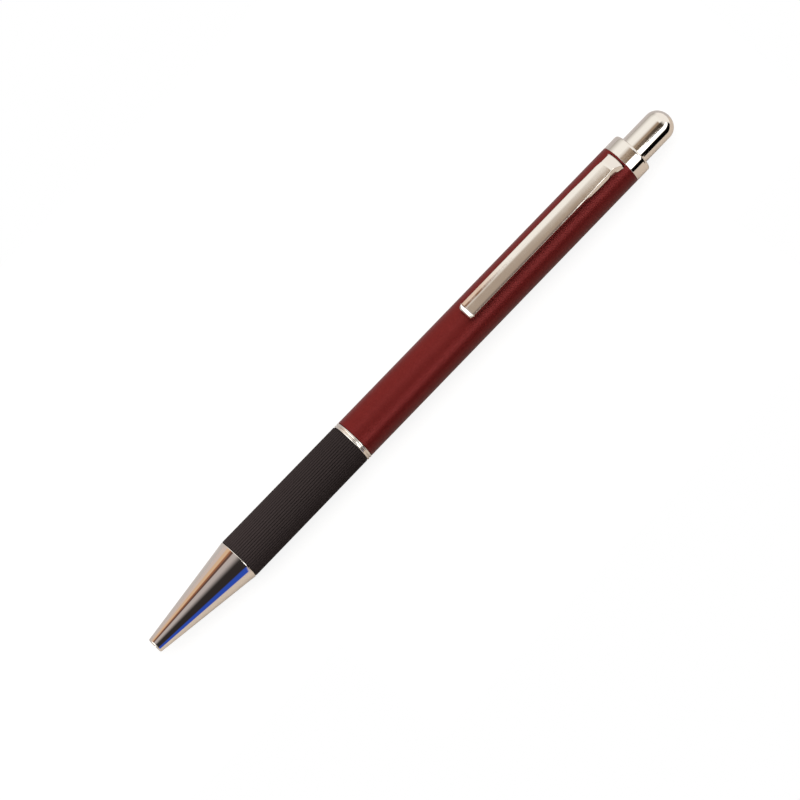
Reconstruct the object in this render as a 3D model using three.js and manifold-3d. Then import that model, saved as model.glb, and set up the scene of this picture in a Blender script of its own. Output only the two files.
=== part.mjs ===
// A retractable ballpoint pen lying along X with its clip straight up, in millimetres.
// The writing end points to -X and the plunger to +X. The origin is under the middle of the pen, on the
// surface that it lies on. The pen is modelled retracted, with the point inside the nose cone.

import * as THREE from 'three';
import { mergeVertices, toCreasedNormals } from 'three/addons/utils/BufferGeometryUtils.js';
import Module from 'manifold-3d';

const wasm = await Module();
wasm.setup();

// Driving sizes. A station is a distance along the pen's axis from the open end of the nose cone.

const facets = 48; // flat sides round every turned piece that shows, and the mechanism
const innerFacets = 24; // round the core, its bushing and the refill

// Nose cone
const coneLength = 22.5;
const coneTipRadius = 1.585;
const coneBaseRadius = 4.45;
const coneTipRound = 0.3;
const coneBaseRound = 0.18;
const coneBore = 1.25;
const springSeat = 8; // station of the step inside the cone that the spring stands on
const springChamber = 2.05;
const coneSocketDepth = 5;

// Grip and the core that carries it
const gripLength = 30;
const gripFrontRadius = 4.43;
const gripRearRadius = 4.38;
const gripWall = 0.8;
const gripRibs = 54;
const gripGrooveDepth = 0.13;
const gripEndBevel = 0.2;
const coreBore = 2.15;
const spigotRadius = 2.95; // threaded ends of the core
const spigotChamfer = 0.3;
const reliefDepth = 0.25; // thread relief groove beside each shoulder
const reliefWidth = 0.8;
const rearSpigotLength = 7.4;

// Trim ring with two beads
const ringWidth = 1.15;
const ringRadius = 4.42;
const ringGrooveDepth = 0.16;

// Barrel
const barrelLength = 71.85;
const barrelRadius = 4.35;
const barrelWall = 0.4;
const barrelEdgeBevel = 0.08;
const bushingLength = 7.8;

// Collar
const collarLength = 3.45;
const collarRound = 0.55;
const collarSpigotLength = 4.9;

// Plunger
const plungerReach = 9.55; // from the collar to the top of the dome, at rest
const plungerRadius = 3.06;
const plungerWall = 0.35;
const plungerDome = 2.85;
const flangeRadius = 3.45;
const flangeThickness = 1.2;
const flangeCupWall = 0.35; // sleeve wall round the flange's travel

// Clip, pressed from sheet
const clipLength = 40.9;
const clipWidth = 3.25;
const clipRootWidth = 3.5;
const clipRise = 2.15; // top of the clip above the barrel
const clipSheet = 0.4;
const clipFlangeDepth = 1.5;
const clipEdgeRound = 0.45;
const clipEndRound = 1;
const clipRootRadius = 2.7;
const clipRootInset = 0.45; // from the root's outer face to the end of the barrel
const clipFlangeInset = 2.65; // from the root's outer face to the ends of the side flanges
const clipNeckLap = 0.6; // how far the neck reaches in between the side flanges
const clipNeckRise = 0.1; // of the neck's walls above the top of the barrel
const clipFlareLength = 0.4; // from the flare's quickest widening to the root's outer face
const clipFootLength = 1.1;
const clipFootWidth = 1.6;
const clipFootThickness = 0.35;
const clipTongueDepth = 1; // how far the root reaches below the top of the barrel

// Click mechanism
const lockTravel = 4.3; // how far the refill stays out when it is clicked
const overTravel = 1.2; // how much further the plunger goes before it lets the rotor turn
const turnRoom = 0.5; // between the rotor's lugs and the cam teeth at full press
const thrustReach = 14.7; // from the thrust tube's flange to the tips of its crown
const thrustRadius = 2.35;
const thrustBore = 1.75;
const crownTeeth = 8;
const toothHeight = 1;
const camChannels = 4;
const channelHalfAngle = THREE.MathUtils.degToRad(15);
const lugHalfAngle = THREE.MathUtils.degToRad(12);
const camStepAngle = THREE.MathUtils.degToRad(2); // draft on the wall of a cam tooth
const lugRadius = 2.9;
const thrustLugLength = 5;
const thrustLugRise = 2; // from the crown's tips to the thrust tube's lugs
const rotorRadius = 2.3;
const rotorLength = 8.9;
const rotorLugLength = 3.4;
const rotorLugSlant = 0.6;
const rotorSocketDepth = 5;
const rotorStemRadius = 1.6;
const rotorStemLength = 3.5;
const camSkirt = 4; // how far the cam sleeve reaches past the rotor

// Refill
const ballRadius = 0.4;
const ballInset = 1.25; // from the open end of the cone to the ball, retracted
const ballStandOut = 0.3; // share of the ball's diameter that stands out of its socket
const pointRadius = 1.15;
const pointNoseLength = 3.2;
const pointLipWall = 0.06;
const inkBore = 0.35;
const pointSpigotRadius = 0.82;
const pointSpigotLength = 2.8;
const adapterNoseRadius = 1.3;
const adapterFlangeRadius = 1.95;
const adapterFlangeThickness = 1.2;
const adapterSpigotLength = 4;
const adapterBore = 0.5;
const refillTubeRadius = 1.55;
const refillTubeWall = 0.33;
const plugLength = 3.8;
const plugVent = 0.3;

// Return spring
const springLength = 17.6;
const springTurns = 13;
const springWire = 0.36;
const springMeanRadius = 1.62;
const springEndGap = 0.45; // clear gap in the two end turns
const springStepsPerTurn = 8;
const springSides = 5;

// Clearances
const seam = 0.03; // between end faces screwed or pressed up against each other
const fit = 0.05; // round a piece pushed or screwed into another
const running = 0.09; // round a piece that slides or turns in another
const ballClearance = 0.02;
const swing = 0.12; // round the clip's root in its slot
const endFloat = 0.1; // before a sliding piece meets its stop

// Stations that follow from the sizes
const ringStart = coneLength + gripLength;
const barrelStart = ringStart + ringWidth;
const barrelEnd = barrelStart + barrelLength;
const collarEnd = barrelEnd + collarLength;
const penLength = collarEnd + plungerReach;
const travel = lockTravel + overTravel;

const barrelBore = barrelRadius - barrelWall;
const innerShellRadius = barrelBore - fit; // what is pushed into the barrel
const seatRadius = gripRearRadius - gripWall; // the core under the grip and ring
const collarBore = plungerRadius + running;

const collarSpigotEnd = barrelEnd - collarSpigotLength;
const flangeTop = collarSpigotEnd - endFloat;
const flangeBottom = flangeTop - flangeThickness;
const cupFloor = flangeBottom - travel - endFloat;
const crownTip = flangeBottom - thrustReach;
const rotorTop = crownTip + toothHeight / 2 - fit; // teeth stand a quarter pitch out of step
const rotorBottom = rotorTop - rotorLength;
const rotorLugTop = rotorTop - toothHeight;
const camNotch = rotorLugTop - lockTravel;
const camRamp = overTravel - turnRoom;
const camBottom = rotorBottom - camSkirt;
const channelRadius = lugRadius + running + fit;
const camRibRadius = Math.max(thrustRadius, rotorRadius) + running;

const ballStation = ballInset + ballRadius;
const adapterStart = springSeat + travel + endFloat;
const adapterFlange = springSeat + springLength + 2 * endFloat;
const refillTubeStart = adapterFlange + adapterFlangeThickness + seam;
const refillTubeBore = refillTubeRadius - refillTubeWall;
const refillTop = rotorBottom + rotorSocketDepth - fit;

const clipRootFace = barrelEnd - clipRootInset;
const clipTip = clipRootFace - clipLength;
const clipTop = barrelRadius + clipRise;
const clipFlangeEnd = clipRootFace - clipFlangeInset;
const clipTongueFoot = barrelRadius - clipTongueDepth;

const toothPitch = (2 * Math.PI) / crownTeeth;
const channelPitch = (2 * Math.PI) / camChannels;

// Finishes
const finish = (color, roughness, metalness) => new THREE.MeshStandardMaterial({ color, roughness, metalness });
const chrome = finish('#d9d1c7', 0.12, 1);
const burgundy = finish('#6e2725', 0.42, 0.35);
const ribbedRubber = finish('#3b3332', 0.7, 0);
const brass = finish('#b7995f', 0.35, 1);
const springSteel = finish('#b9bbbd', 0.3, 1);
const blackPlastic = finish('#2c2b2d', 0.5, 0);
const whitePlastic = finish('#e4e0d6', 0.45, 0);
const nickel = finish('#c3c1bb', 0.25, 1);
const carbide = finish('#8d8f93', 0.2, 1);

const degrees = THREE.MathUtils.degToRad;

// count + 1 even steps from one value to another
function steps(from, to, count) {
  return Array.from({ length: count + 1 }, (_, i) => from + ((to - from) * i) / count);
}

// Points of [station, radius] on an arc; angles in degrees from +station towards +radius
function arc(station, radius, size, from, to, count = 4) {
  return steps(degrees(from), degrees(to), count).map((angle) => [
    station + size * Math.cos(angle),
    radius + size * Math.sin(angle),
  ]);
}

// Solids and geometries
function toSolid(geometry) {
  const bare = new THREE.BufferGeometry();
  bare.setAttribute('position', geometry.getAttribute('position').clone());
  bare.setIndex(geometry.index);
  const merged = mergeVertices(bare, 1e-4);
  const mesh = new wasm.Mesh({
    numProp: 3,
    vertProperties: merged.attributes.position.array,
    triVerts: new Uint32Array(merged.index.array),
  });
  return new wasm.Manifold(mesh);
}

function toGeometry(solid) {
  const { numProp, vertProperties, triVerts } = solid.getMesh();
  if (numProp !== 3) throw new Error('only positions are expected');
  const geometry = new THREE.BufferGeometry();
  geometry.setAttribute('position', new THREE.BufferAttribute(vertProperties, 3));
  geometry.setIndex(new THREE.BufferAttribute(triVerts, 1));
  return toCreasedNormals(geometry, degrees(25));
}

// A closed outline of [station, radius] points turned round the axis. It runs towards the plunger on
// its outer side. LatheGeometry turns about Y, and passing the coordinates on by one place lays it on X.
function revolve(outline, count = facets) {
  const points = outline.map(([station, radius]) => new THREE.Vector2(radius, station));
  if (outline[0][1] > 0) points.push(points[0].clone());
  const geometry = new THREE.LatheGeometry(points, count, Math.PI / count);
  const position = geometry.getAttribute('position');
  for (let i = 0; i < position.count; i++) {
    position.setXYZ(i, position.getY(i), position.getZ(i), position.getX(i));
  }
  return toSolid(geometry);
}

// As revolve, but the outline may change with the angle. A full turn closes on itself, and a part
// turn is closed by its first and last outline.
function revolveBy(angles, outlineAt, fullTurn = true) {
  const outlines = angles.map(outlineAt);
  const size = outlines[0].length;
  const positions = outlines.flatMap((outline, i) =>
    outline.flatMap(([station, radius]) => [
      station,
      radius * Math.cos(angles[i]),
      radius * Math.sin(angles[i]),
    ]),
  );
  const index = [];
  const spans = fullTurn ? angles.length : angles.length - 1;
  for (let i = 0; i < spans; i++) {
    const next = ((i + 1) % angles.length) * size;
    for (let k = 0; k < size; k++) {
      const [a, b] = [i * size + k, i * size + ((k + 1) % size)];
      const [c, d] = [next + ((k + 1) % size), next + k];
      index.push(a, d, c, a, c, b);
    }
  }
  if (!fullTurn) {
    const last = (angles.length - 1) * size;
    for (let k = 1; k < size - 1; k++) {
      index.push(0, k, k + 1, last, last + k + 1, last + k);
    }
  }
  const geometry = new THREE.BufferGeometry();
  geometry.setAttribute('position', new THREE.Float32BufferAttribute(positions, 3));
  geometry.setIndex(index);
  return toSolid(geometry);
}

// A block between two radii and two angles, repeated round the axis. low and high give its ends.
function blocksRound(count, halfAngle, inner, outer, low, high, centre = 0) {
  const blocks = steps(0, (2 * Math.PI * (count - 1)) / count, count - 1).map((turn) =>
    revolveBy(
      steps(turn + centre - halfAngle, turn + centre + halfAngle, 4),
      (angle) => {
        const across = angle - turn - centre;
        return [
          [low(across), inner],
          [low(across), outer],
          [high(across), outer],
          [high(across), inner],
        ];
      },
      false,
    ),
  );
  return wasm.Manifold.union(blocks);
}

// Shapes drawn in the side view (x, z), the end view (y, z) and the plan (x, y)
function sideView(shape, width) {
  const geometry = new THREE.ExtrudeGeometry(shape, { depth: width, bevelEnabled: false, curveSegments: 6 });
  return toSolid(geometry.rotateX(Math.PI / 2).translate(0, width / 2, 0));
}

function endView(shape, from, to) {
  const geometry = new THREE.ExtrudeGeometry(shape, { depth: to - from, bevelEnabled: false, curveSegments: 4 });
  const turn = new THREE.Matrix4().set(0, 0, 1, from, 1, 0, 0, 0, 0, 1, 0, 0, 0, 0, 0, 1);
  return toSolid(geometry.applyMatrix4(turn));
}

function planView(shape, from, to) {
  const geometry = new THREE.ExtrudeGeometry(shape, { depth: to - from, bevelEnabled: false, curveSegments: 4 });
  return toSolid(geometry.translate(0, 0, from));
}

function block(x, y, z) {
  const geometry = new THREE.BoxGeometry(x[1] - x[0], y[1] - y[0], z[1] - z[0]);
  return toSolid(geometry.translate((x[0] + x[1]) / 2, (y[0] + y[1]) / 2, (z[0] + z[1]) / 2));
}

// The cone with its spring chamber and the socket that the core screws into
function noseCone() {
  const slope = (coneBaseRadius - coneTipRadius) / coneLength;
  const socket = spigotRadius + fit;
  const socketFloor = coneLength - coneSocketDepth;
  const lean = THREE.MathUtils.radToDeg(Math.atan(slope));
  const base = coneBaseRadius - coneBaseRound;
  return revolve([
    [0, coneBore],
    ...arc(coneTipRound, coneTipRadius + slope * coneTipRound - coneTipRound, coneTipRound, 180, 90 + lean, 3),
    ...arc(coneLength - coneBaseRound, base, coneBaseRound, 90, 0, 3),
    [coneLength, socket],
    [socketFloor, socket],
    [socketFloor, springChamber],
    [springSeat, springChamber],
    [springSeat, coneBore],
  ]);
}

// A tube with a threaded spigot at each end, under the grip and the ring
function gripCore() {
  const front = coneLength - coneSocketDepth + fit;
  const shoulder = coneLength + seam;
  const back = barrelStart;
  const rear = back + rearSpigotLength;
  const relief = spigotRadius - reliefDepth;
  return revolve([
    [front, coreBore],
    [front, spigotRadius - spigotChamfer],
    [front + spigotChamfer, spigotRadius],
    [shoulder - reliefWidth, spigotRadius],
    [shoulder - reliefWidth, relief],
    [shoulder, relief],
    [shoulder, seatRadius],
    [back, seatRadius],
    [back, relief],
    [back + reliefWidth, relief],
    [back + reliefWidth, spigotRadius],
    [rear - spigotChamfer, spigotRadius],
    [rear, spigotRadius - spigotChamfer],
    [rear, coreBore],
  ], innerFacets);
}

// Lengthwise ribs: three corners a rib, two on its flat crest and one at the foot of the groove
function gripSleeve() {
  const front = coneLength + seam;
  const rear = ringStart - seam;
  const pitch = (2 * Math.PI) / gripRibs;
  const corners = [
    { share: 0, depth: gripGrooveDepth },
    { share: 0.28, depth: 0 },
    { share: 0.72, depth: 0 },
  ];
  const angles = [];
  const depths = [];
  for (let rib = 0; rib < gripRibs; rib++) {
    for (const { share, depth } of corners) {
      angles.push((rib + share + 0.5) * pitch);
      depths.push(depth);
    }
  }
  const bore = seatRadius + fit;
  return revolveBy(angles, (angle) => {
    const depth = depths[angles.indexOf(angle)];
    return [
      [front, bore],
      [front, gripFrontRadius - gripEndBevel],
      [front + gripEndBevel, gripFrontRadius - depth],
      [rear - gripEndBevel, gripRearRadius - depth],
      [rear, gripRearRadius - gripEndBevel],
      [rear, bore],
    ];
  });
}

function trimRing() {
  const rear = barrelStart - seam;
  const bead = (rear - ringStart) / 4;
  const beadFoot = ringRadius - bead;
  const groove = ringRadius - ringGrooveDepth;
  const dip = THREE.MathUtils.radToDeg(Math.acos(1 - ringGrooveDepth / bead));
  return revolve([
    [ringStart, seatRadius + fit],
    ...arc(ringStart + bead, beadFoot, bead, 180, 90 - dip),
    [ringStart + 2 * bead, groove],
    ...arc(rear - bead, beadFoot, bead, 90 + dip, 0),
    [rear, seatRadius + fit],
  ]);
}

function barrelBushing() {
  const front = barrelStart + seam + reliefWidth;
  const rear = front + bushingLength - reliefWidth;
  return revolve([
    [front, spigotRadius + fit],
    [front, innerShellRadius],
    [rear, innerShellRadius],
    [rear, spigotRadius + fit],
  ], innerFacets);
}

// The painted tube, with the slot that the clip's root goes down through
function barrel() {
  const tube = revolve([
    [barrelStart, barrelBore],
    [barrelStart, barrelRadius - barrelEdgeBevel],
    [barrelStart + barrelEdgeBevel, barrelRadius],
    [barrelEnd - barrelEdgeBevel, barrelRadius],
    [barrelEnd, barrelRadius - barrelEdgeBevel],
    [barrelEnd, barrelBore],
  ]);
  const halfSlot = clipRootWidth / 2 + swing;
  const slot = block(
    [clipRootFace - clipSheet - swing, clipRootFace + swing],
    [-halfSlot, halfSlot],
    [clipTongueFoot - barrelWall, clipTop],
  );
  return tube.subtract(slot);
}

// The collar closes the barrel and guides the plunger. Its spigot is notched for the clip's foot.
function topCollar() {
  const front = barrelEnd + seam;
  const ring = revolve([
    [collarSpigotEnd, collarBore],
    [collarSpigotEnd, innerShellRadius],
    [front, innerShellRadius],
    [front, barrelRadius - barrelEdgeBevel],
    [front + barrelEdgeBevel, barrelRadius],
    ...arc(collarEnd - collarRound, barrelRadius - collarRound, collarRound, 90, 0),
    [collarEnd, collarBore],
  ]);
  const halfNotch = clipRootWidth / 2 + swing;
  const notch = block(
    [clipRootFace - clipSheet - clipFootLength - 2 * swing, front],
    [-halfNotch, halfNotch],
    [0, innerShellRadius + fit],
  );
  return ring.subtract(notch);
}

// Rib ends of the cam sleeve. Each rib has two teeth: the first ends in the notch that holds a lug
// while the pen writes, and the second leads the lug into the next channel.
function camEdge(across, ribHalfAngle) {
  const tooth = ribHalfAngle - camStepAngle / 2;
  const ramp = across < 0 ? (across + ribHalfAngle) / tooth : (across - camStepAngle / 2) / tooth;
  return camNotch - camRamp + camRamp * THREE.MathUtils.clamp(ramp, 0, 1);
}

function camSleeve() {
  const top = collarSpigotEnd - seam;
  const shell = revolve([
    [camBottom, channelRadius],
    [camBottom, innerShellRadius - spigotChamfer],
    [camBottom + spigotChamfer, innerShellRadius],
    [top, innerShellRadius],
    [top, innerShellRadius - flangeCupWall],
    [cupFloor, innerShellRadius - flangeCupWall],
    [cupFloor, channelRadius],
  ]);
  const ribHalfAngle = channelPitch / 2 - channelHalfAngle;
  const tooth = ribHalfAngle - camStepAngle / 2;
  const stops = [
    ...steps(-ribHalfAngle, -ribHalfAngle + tooth, 4),
    ...steps(ribHalfAngle - tooth, ribHalfAngle, 4),
  ];
  const embedded = channelRadius + flangeCupWall;
  const ribs = steps(0, camChannels - 1, camChannels - 1).map((rib) => {
    const centre = (rib + 0.5) * channelPitch;
    return revolveBy(
      stops.map((across) => centre + across),
      (angle) => [
        [camEdge(angle - centre, ribHalfAngle), camRibRadius],
        [camEdge(angle - centre, ribHalfAngle), embedded],
        [cupFloor, embedded],
        [cupFloor, camRibRadius],
      ],
      false,
    );
  });
  return wasm.Manifold.union([shell, ...ribs]);
}

// How far an angle lies off the nearest tooth peak: 0 on the peak and 1 in the valley
function offPeak(angle, firstPeak) {
  const turns = (angle - firstPeak) / toothPitch;
  return 2 * Math.abs(turns - Math.round(turns));
}

function thrustTube() {
  const stemRadius = plungerRadius - plungerWall - fit;
  const stemTop = penLength - plungerDome - endFloat;
  const tube = revolveBy(
    steps(0, 2 * Math.PI, facets).slice(0, facets),
    (angle) => {
      const crown = crownTip + toothHeight * offPeak(angle, 0);
      return [
        [crown, thrustBore],
        [crown, thrustRadius],
        [flangeBottom, thrustRadius],
        [flangeBottom, flangeRadius],
        [flangeTop, flangeRadius],
        [flangeTop, stemRadius],
        [stemTop, stemRadius],
        [stemTop, thrustBore],
      ];
    },
  );
  const low = crownTip + thrustLugRise;
  const lugs = blocksRound(
    camChannels,
    lugHalfAngle,
    (thrustBore + thrustRadius) / 2,
    lugRadius,
    () => low,
    () => low + thrustLugLength,
  );
  return tube.add(lugs);
}

function plungerCap() {
  const open = flangeTop + seam;
  const domeFoot = penLength - plungerDome;
  const bore = plungerRadius - plungerWall;
  const dome = (radius, height, from, to, count) =>
    steps(degrees(from), degrees(to), count).map((angle) => [
      domeFoot + height * Math.sin(angle),
      radius * Math.abs(Math.cos(angle)),
    ]);
  const outside = dome(plungerRadius, plungerDome, 0, 90, 8);
  const inside = dome(bore, plungerDome - plungerWall, 90, 0, 4);
  const apex = outside.pop()[0];
  const hollow = inside.shift()[0];
  return revolve([[hollow, 0], ...inside, [open, bore], [open, plungerRadius], ...outside, [apex, 0]]);
}

// The rotor: crown teeth against the thrust tube's, lugs with slanted tops, a stem above and a
// socket below for the end of the refill
function rotor() {
  const firstPeak = 0.75 * toothPitch;
  const socket = refillTubeRadius + fit;
  const body = revolveBy(
    steps(firstPeak, firstPeak + 2 * Math.PI, facets).slice(0, facets),
    (angle) => {
      const edge = rotorTop - toothHeight * offPeak(angle, firstPeak);
      return [
        [rotorBottom, socket],
        [rotorBottom, rotorRadius],
        [edge, rotorRadius],
        [edge, rotorStemRadius / 2],
        [rotorBottom + rotorSocketDepth, rotorStemRadius / 2],
        [rotorBottom + rotorSocketDepth, socket],
      ];
    },
  );
  const stem = revolve([
    [rotorBottom + rotorSocketDepth, 0],
    [rotorBottom + rotorSocketDepth, rotorStemRadius],
    [rotorTop + rotorStemLength, rotorStemRadius],
    [rotorTop + rotorStemLength, 0],
  ]);
  const lugs = blocksRound(
    camChannels,
    lugHalfAngle,
    (socket + rotorRadius) / 2,
    lugRadius,
    () => rotorLugTop - rotorLugLength,
    (across) => rotorLugTop - (rotorLugSlant * (lugHalfAngle - across)) / (2 * lugHalfAngle),
  );
  return wasm.Manifold.union([body, stem, lugs]);
}

// Ball point: a nose that closes round the ball, a parallel body and a spigot, bored for the ink
function refillPoint() {
  const cup = ballRadius + ballClearance;
  const mouthAngle = THREE.MathUtils.radToDeg(Math.acos(1 - 2 * ballStandOut));
  const mouth = arc(ballStation, 0, cup, 180 - mouthAngle, 0, 8);
  const boreAngle = Math.asin(inkBore / cup);
  const floor = ballStation + cup * Math.cos(boreAngle);
  const lip = mouth[0];
  return revolve([
    ...mouth.filter(([station]) => station < floor).reverse(),
    [lip[0], lip[1] + pointLipWall],
    [ballInset + pointNoseLength, pointRadius],
    [adapterStart - seam, pointRadius],
    [adapterStart - seam, pointSpigotRadius],
    [adapterStart + pointSpigotLength, pointSpigotRadius],
    [adapterStart + pointSpigotLength, inkBore],
    [floor, inkBore],
  ], innerFacets);
}

function refillBall() {
  const round = arc(ballStation, 0, ballRadius, 180, 0, 8).slice(1, -1);
  return revolve([[ballInset, 0], ...round, [ballInset + 2 * ballRadius, 0]], 16);
}

function refillAdapter() {
  const socket = pointSpigotRadius + fit;
  const socketFloor = adapterStart + pointSpigotLength + fit;
  const flangeEnd = adapterFlange + adapterFlangeThickness;
  const spigot = refillTubeBore - fit;
  return revolve([
    [adapterStart, socket],
    [adapterStart, adapterNoseRadius],
    [adapterFlange, adapterNoseRadius],
    [adapterFlange, adapterFlangeRadius],
    [flangeEnd, adapterFlangeRadius],
    [flangeEnd, spigot],
    [flangeEnd + adapterSpigotLength, spigot],
    [flangeEnd + adapterSpigotLength, adapterBore],
    [socketFloor, adapterBore],
    [socketFloor, socket],
  ], innerFacets);
}

function refillTube() {
  return revolve([
    [refillTubeStart, refillTubeBore],
    [refillTubeStart, refillTubeRadius],
    [refillTop, refillTubeRadius],
    [refillTop, refillTubeBore],
  ], innerFacets);
}

function refillPlug() {
  return revolve([
    [refillTop - plugLength, plugVent],
    [refillTop - plugLength, refillTubeBore - fit],
    [refillTop, refillTubeBore - fit],
    [refillTop, plugVent],
  ], innerFacets);
}

// One unbroken tube of wire. Its two end turns lie closer than the rest.
function returnSpring() {
  const endPitch = springWire + springEndGap;
  const middleTurns = springTurns - 2;
  const middlePitch = (springLength - springWire - 2 * endPitch) / middleTurns;
  const climb = (turn) =>
    endPitch * Math.min(turn, 1) +
    middlePitch * THREE.MathUtils.clamp(turn - 1, 0, middleTurns) +
    endPitch * Math.max(turn - 1 - middleTurns, 0);
  const start = springSeat + endFloat + springWire / 2;
  const centre = (turn) =>
    new THREE.Vector3(
      start + climb(turn),
      springMeanRadius * Math.cos(2 * Math.PI * turn),
      springMeanRadius * Math.sin(2 * Math.PI * turn),
    );
  const count = springTurns * springStepsPerTurn;
  const turns = steps(0, springTurns, count);
  const positions = [];
  for (const turn of turns) {
    const at = centre(turn);
    const out = new THREE.Vector3(0, at.y, at.z).normalize();
    const pitch = climb(Math.min(turn + 0.5, springTurns)) - climb(Math.max(turn - 0.5, 0));
    const along = new THREE.Vector3(pitch, 0, 0)
      .addScaledVector(new THREE.Vector3(0, -out.z, out.y), 2 * Math.PI * springMeanRadius)
      .normalize();
    const side = new THREE.Vector3().crossVectors(along, out);
    for (const angle of steps(0, 2 * Math.PI, springSides).slice(0, springSides)) {
      const point = at.clone();
      point.addScaledVector(out, (springWire / 2) * Math.cos(angle));
      point.addScaledVector(side, (springWire / 2) * Math.sin(angle));
      positions.push(...point.toArray());
    }
  }
  const index = [];
  for (let i = 0; i < count; i++) {
    for (let k = 0; k < springSides; k++) {
      const [a, b] = [i * springSides + k, i * springSides + ((k + 1) % springSides)];
      index.push(a, b, b + springSides, a, b + springSides, a + springSides);
    }
  }
  const last = count * springSides;
  for (let k = 1; k < springSides - 1; k++) {
    index.push(0, k + 1, k, last, last + k, last + k + 1);
  }
  const geometry = new THREE.BufferGeometry();
  geometry.setAttribute('position', new THREE.Float32BufferAttribute(positions, 3));
  geometry.setIndex(index);
  console.log('least gap between spring turns, mm:', leastGap(turns.map(centre)).toFixed(2));
  return toSolid(geometry);
}

// Least distance between points of the wire more than half a turn apart, less the wire
function leastGap(points) {
  const apart = Math.ceil(springStepsPerTurn / 2);
  let least = Infinity;
  points.forEach((a, i) => {
    for (let j = i + apart + 1; j < points.length; j++) {
      least = Math.min(least, a.distanceTo(points[j]));
    }
  });
  return least - springWire;
}

// A channel pressed from sheet. Its far end is bent down to the barrel. Past the side flanges it narrows
// to a neck with walls of its own, flares, curves down through the slot and ends in a foot under the
// barrel's wall.
function clip() {
  const lipFoot = barrelRadius + fit;
  const flangeFoot = clipTop - clipFlangeDepth;
  const flangeRound = clipFlangeDepth / 2;
  const bendTop = clipTop - clipEndRound;
  const outside = new THREE.Shape();
  outside.moveTo(clipTip, lipFoot);
  outside.lineTo(clipTip, bendTop);
  outside.absarc(clipTip + clipEndRound, bendTop, clipEndRound, Math.PI, Math.PI / 2, true);
  outside.lineTo(clipFlangeEnd, clipTop);
  outside.lineTo(clipFlangeEnd, flangeFoot + flangeRound);
  outside.absarc(clipFlangeEnd - flangeRound, flangeFoot + flangeRound, flangeRound, 0, -Math.PI / 2, true);
  outside.lineTo(clipTip + clipEndRound, flangeFoot);
  outside.lineTo(clipTip + clipSheet, lipFoot);

  const pocket = new THREE.Shape();
  const pocketTop = clipTop - clipSheet;
  const pocketRound = clipEndRound - clipSheet;
  pocket.moveTo(clipTip + clipSheet, 0);
  pocket.lineTo(clipTip + clipSheet, bendTop);
  pocket.absarc(clipTip + clipEndRound, bendTop, pocketRound, Math.PI, Math.PI / 2, true);
  pocket.lineTo(clipRootFace, pocketTop);
  pocket.lineTo(clipRootFace, 0);

  const half = clipWidth / 2;
  const neck = half - clipEdgeRound;
  const edge = clipTop - clipEdgeRound;
  const rounded = new THREE.Shape();
  rounded.moveTo(-half, 0);
  rounded.lineTo(-half, edge);
  rounded.absarc(-neck, edge, clipEdgeRound, Math.PI, Math.PI / 2, true);
  rounded.lineTo(neck, clipTop);
  rounded.absarc(neck, edge, clipEdgeRound, Math.PI / 2, 0, true);
  rounded.lineTo(half, 0);

  const channel = sideView(outside, clipWidth)
    .intersect(endView(rounded, clipTip, clipFlangeEnd))
    .subtract(sideView(pocket, clipWidth - 2 * clipSheet));

  const bendStart = clipRootFace - clipRootRadius;
  const bendCentre = clipTop - clipRootRadius;
  const neckStart = clipFlangeEnd - clipNeckLap;
  const sheet = new THREE.Shape();
  sheet.moveTo(neckStart, clipTop);
  sheet.lineTo(bendStart, clipTop);
  sheet.absarc(bendStart, bendCentre, clipRootRadius, Math.PI / 2, 0, true);
  sheet.lineTo(clipRootFace, clipTongueFoot);
  sheet.lineTo(clipRootFace - clipSheet, clipTongueFoot);
  sheet.lineTo(clipRootFace - clipSheet, bendCentre);
  sheet.absarc(bendStart, bendCentre, clipRootRadius - clipSheet, 0, Math.PI / 2, false);
  sheet.lineTo(neckStart, pocketTop);

  const halfRoot = clipRootWidth / 2;
  const flareTurn = clipRootFace - clipFlareLength;
  const flare = new THREE.Shape();
  flare.moveTo(neckStart, -neck);
  flare.lineTo(clipFlangeEnd, -neck);
  flare.quadraticCurveTo(flareTurn, -neck, clipRootFace, -halfRoot);
  flare.lineTo(clipRootFace, halfRoot);
  flare.quadraticCurveTo(flareTurn, neck, clipFlangeEnd, neck);
  flare.lineTo(neckStart, neck);
  const root = sideView(sheet, clipRootWidth).intersect(planView(flare, 0, clipTop));

  const wallFoot = barrelRadius + clipNeckRise;
  const wallMiddle = clipRootRadius - clipSheet / 2;
  const wallTurn = Math.asin((wallFoot - bendCentre) / wallMiddle);
  const wall = new THREE.Shape();
  wall.moveTo(neckStart, wallFoot);
  wall.lineTo(neckStart, clipTop - clipSheet / 2);
  wall.lineTo(bendStart, clipTop - clipSheet / 2);
  wall.absarc(bendStart, bendCentre, wallMiddle, Math.PI / 2, wallTurn, true);
  const oneWall = sideView(wall, clipSheet);
  const side = neck - clipSheet / 2;

  const foot = block(
    [clipRootFace - clipSheet - clipFootLength, clipRootFace - clipSheet / 2],
    [-clipFootWidth / 2, clipFootWidth / 2],
    [clipTongueFoot, clipTongueFoot + clipFootThickness],
  );
  const walls = [oneWall.translate([0, side, 0]), oneWall.translate([0, -side, 0])];
  return wasm.Manifold.union([channel, root, ...walls, foot]);
}

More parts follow.
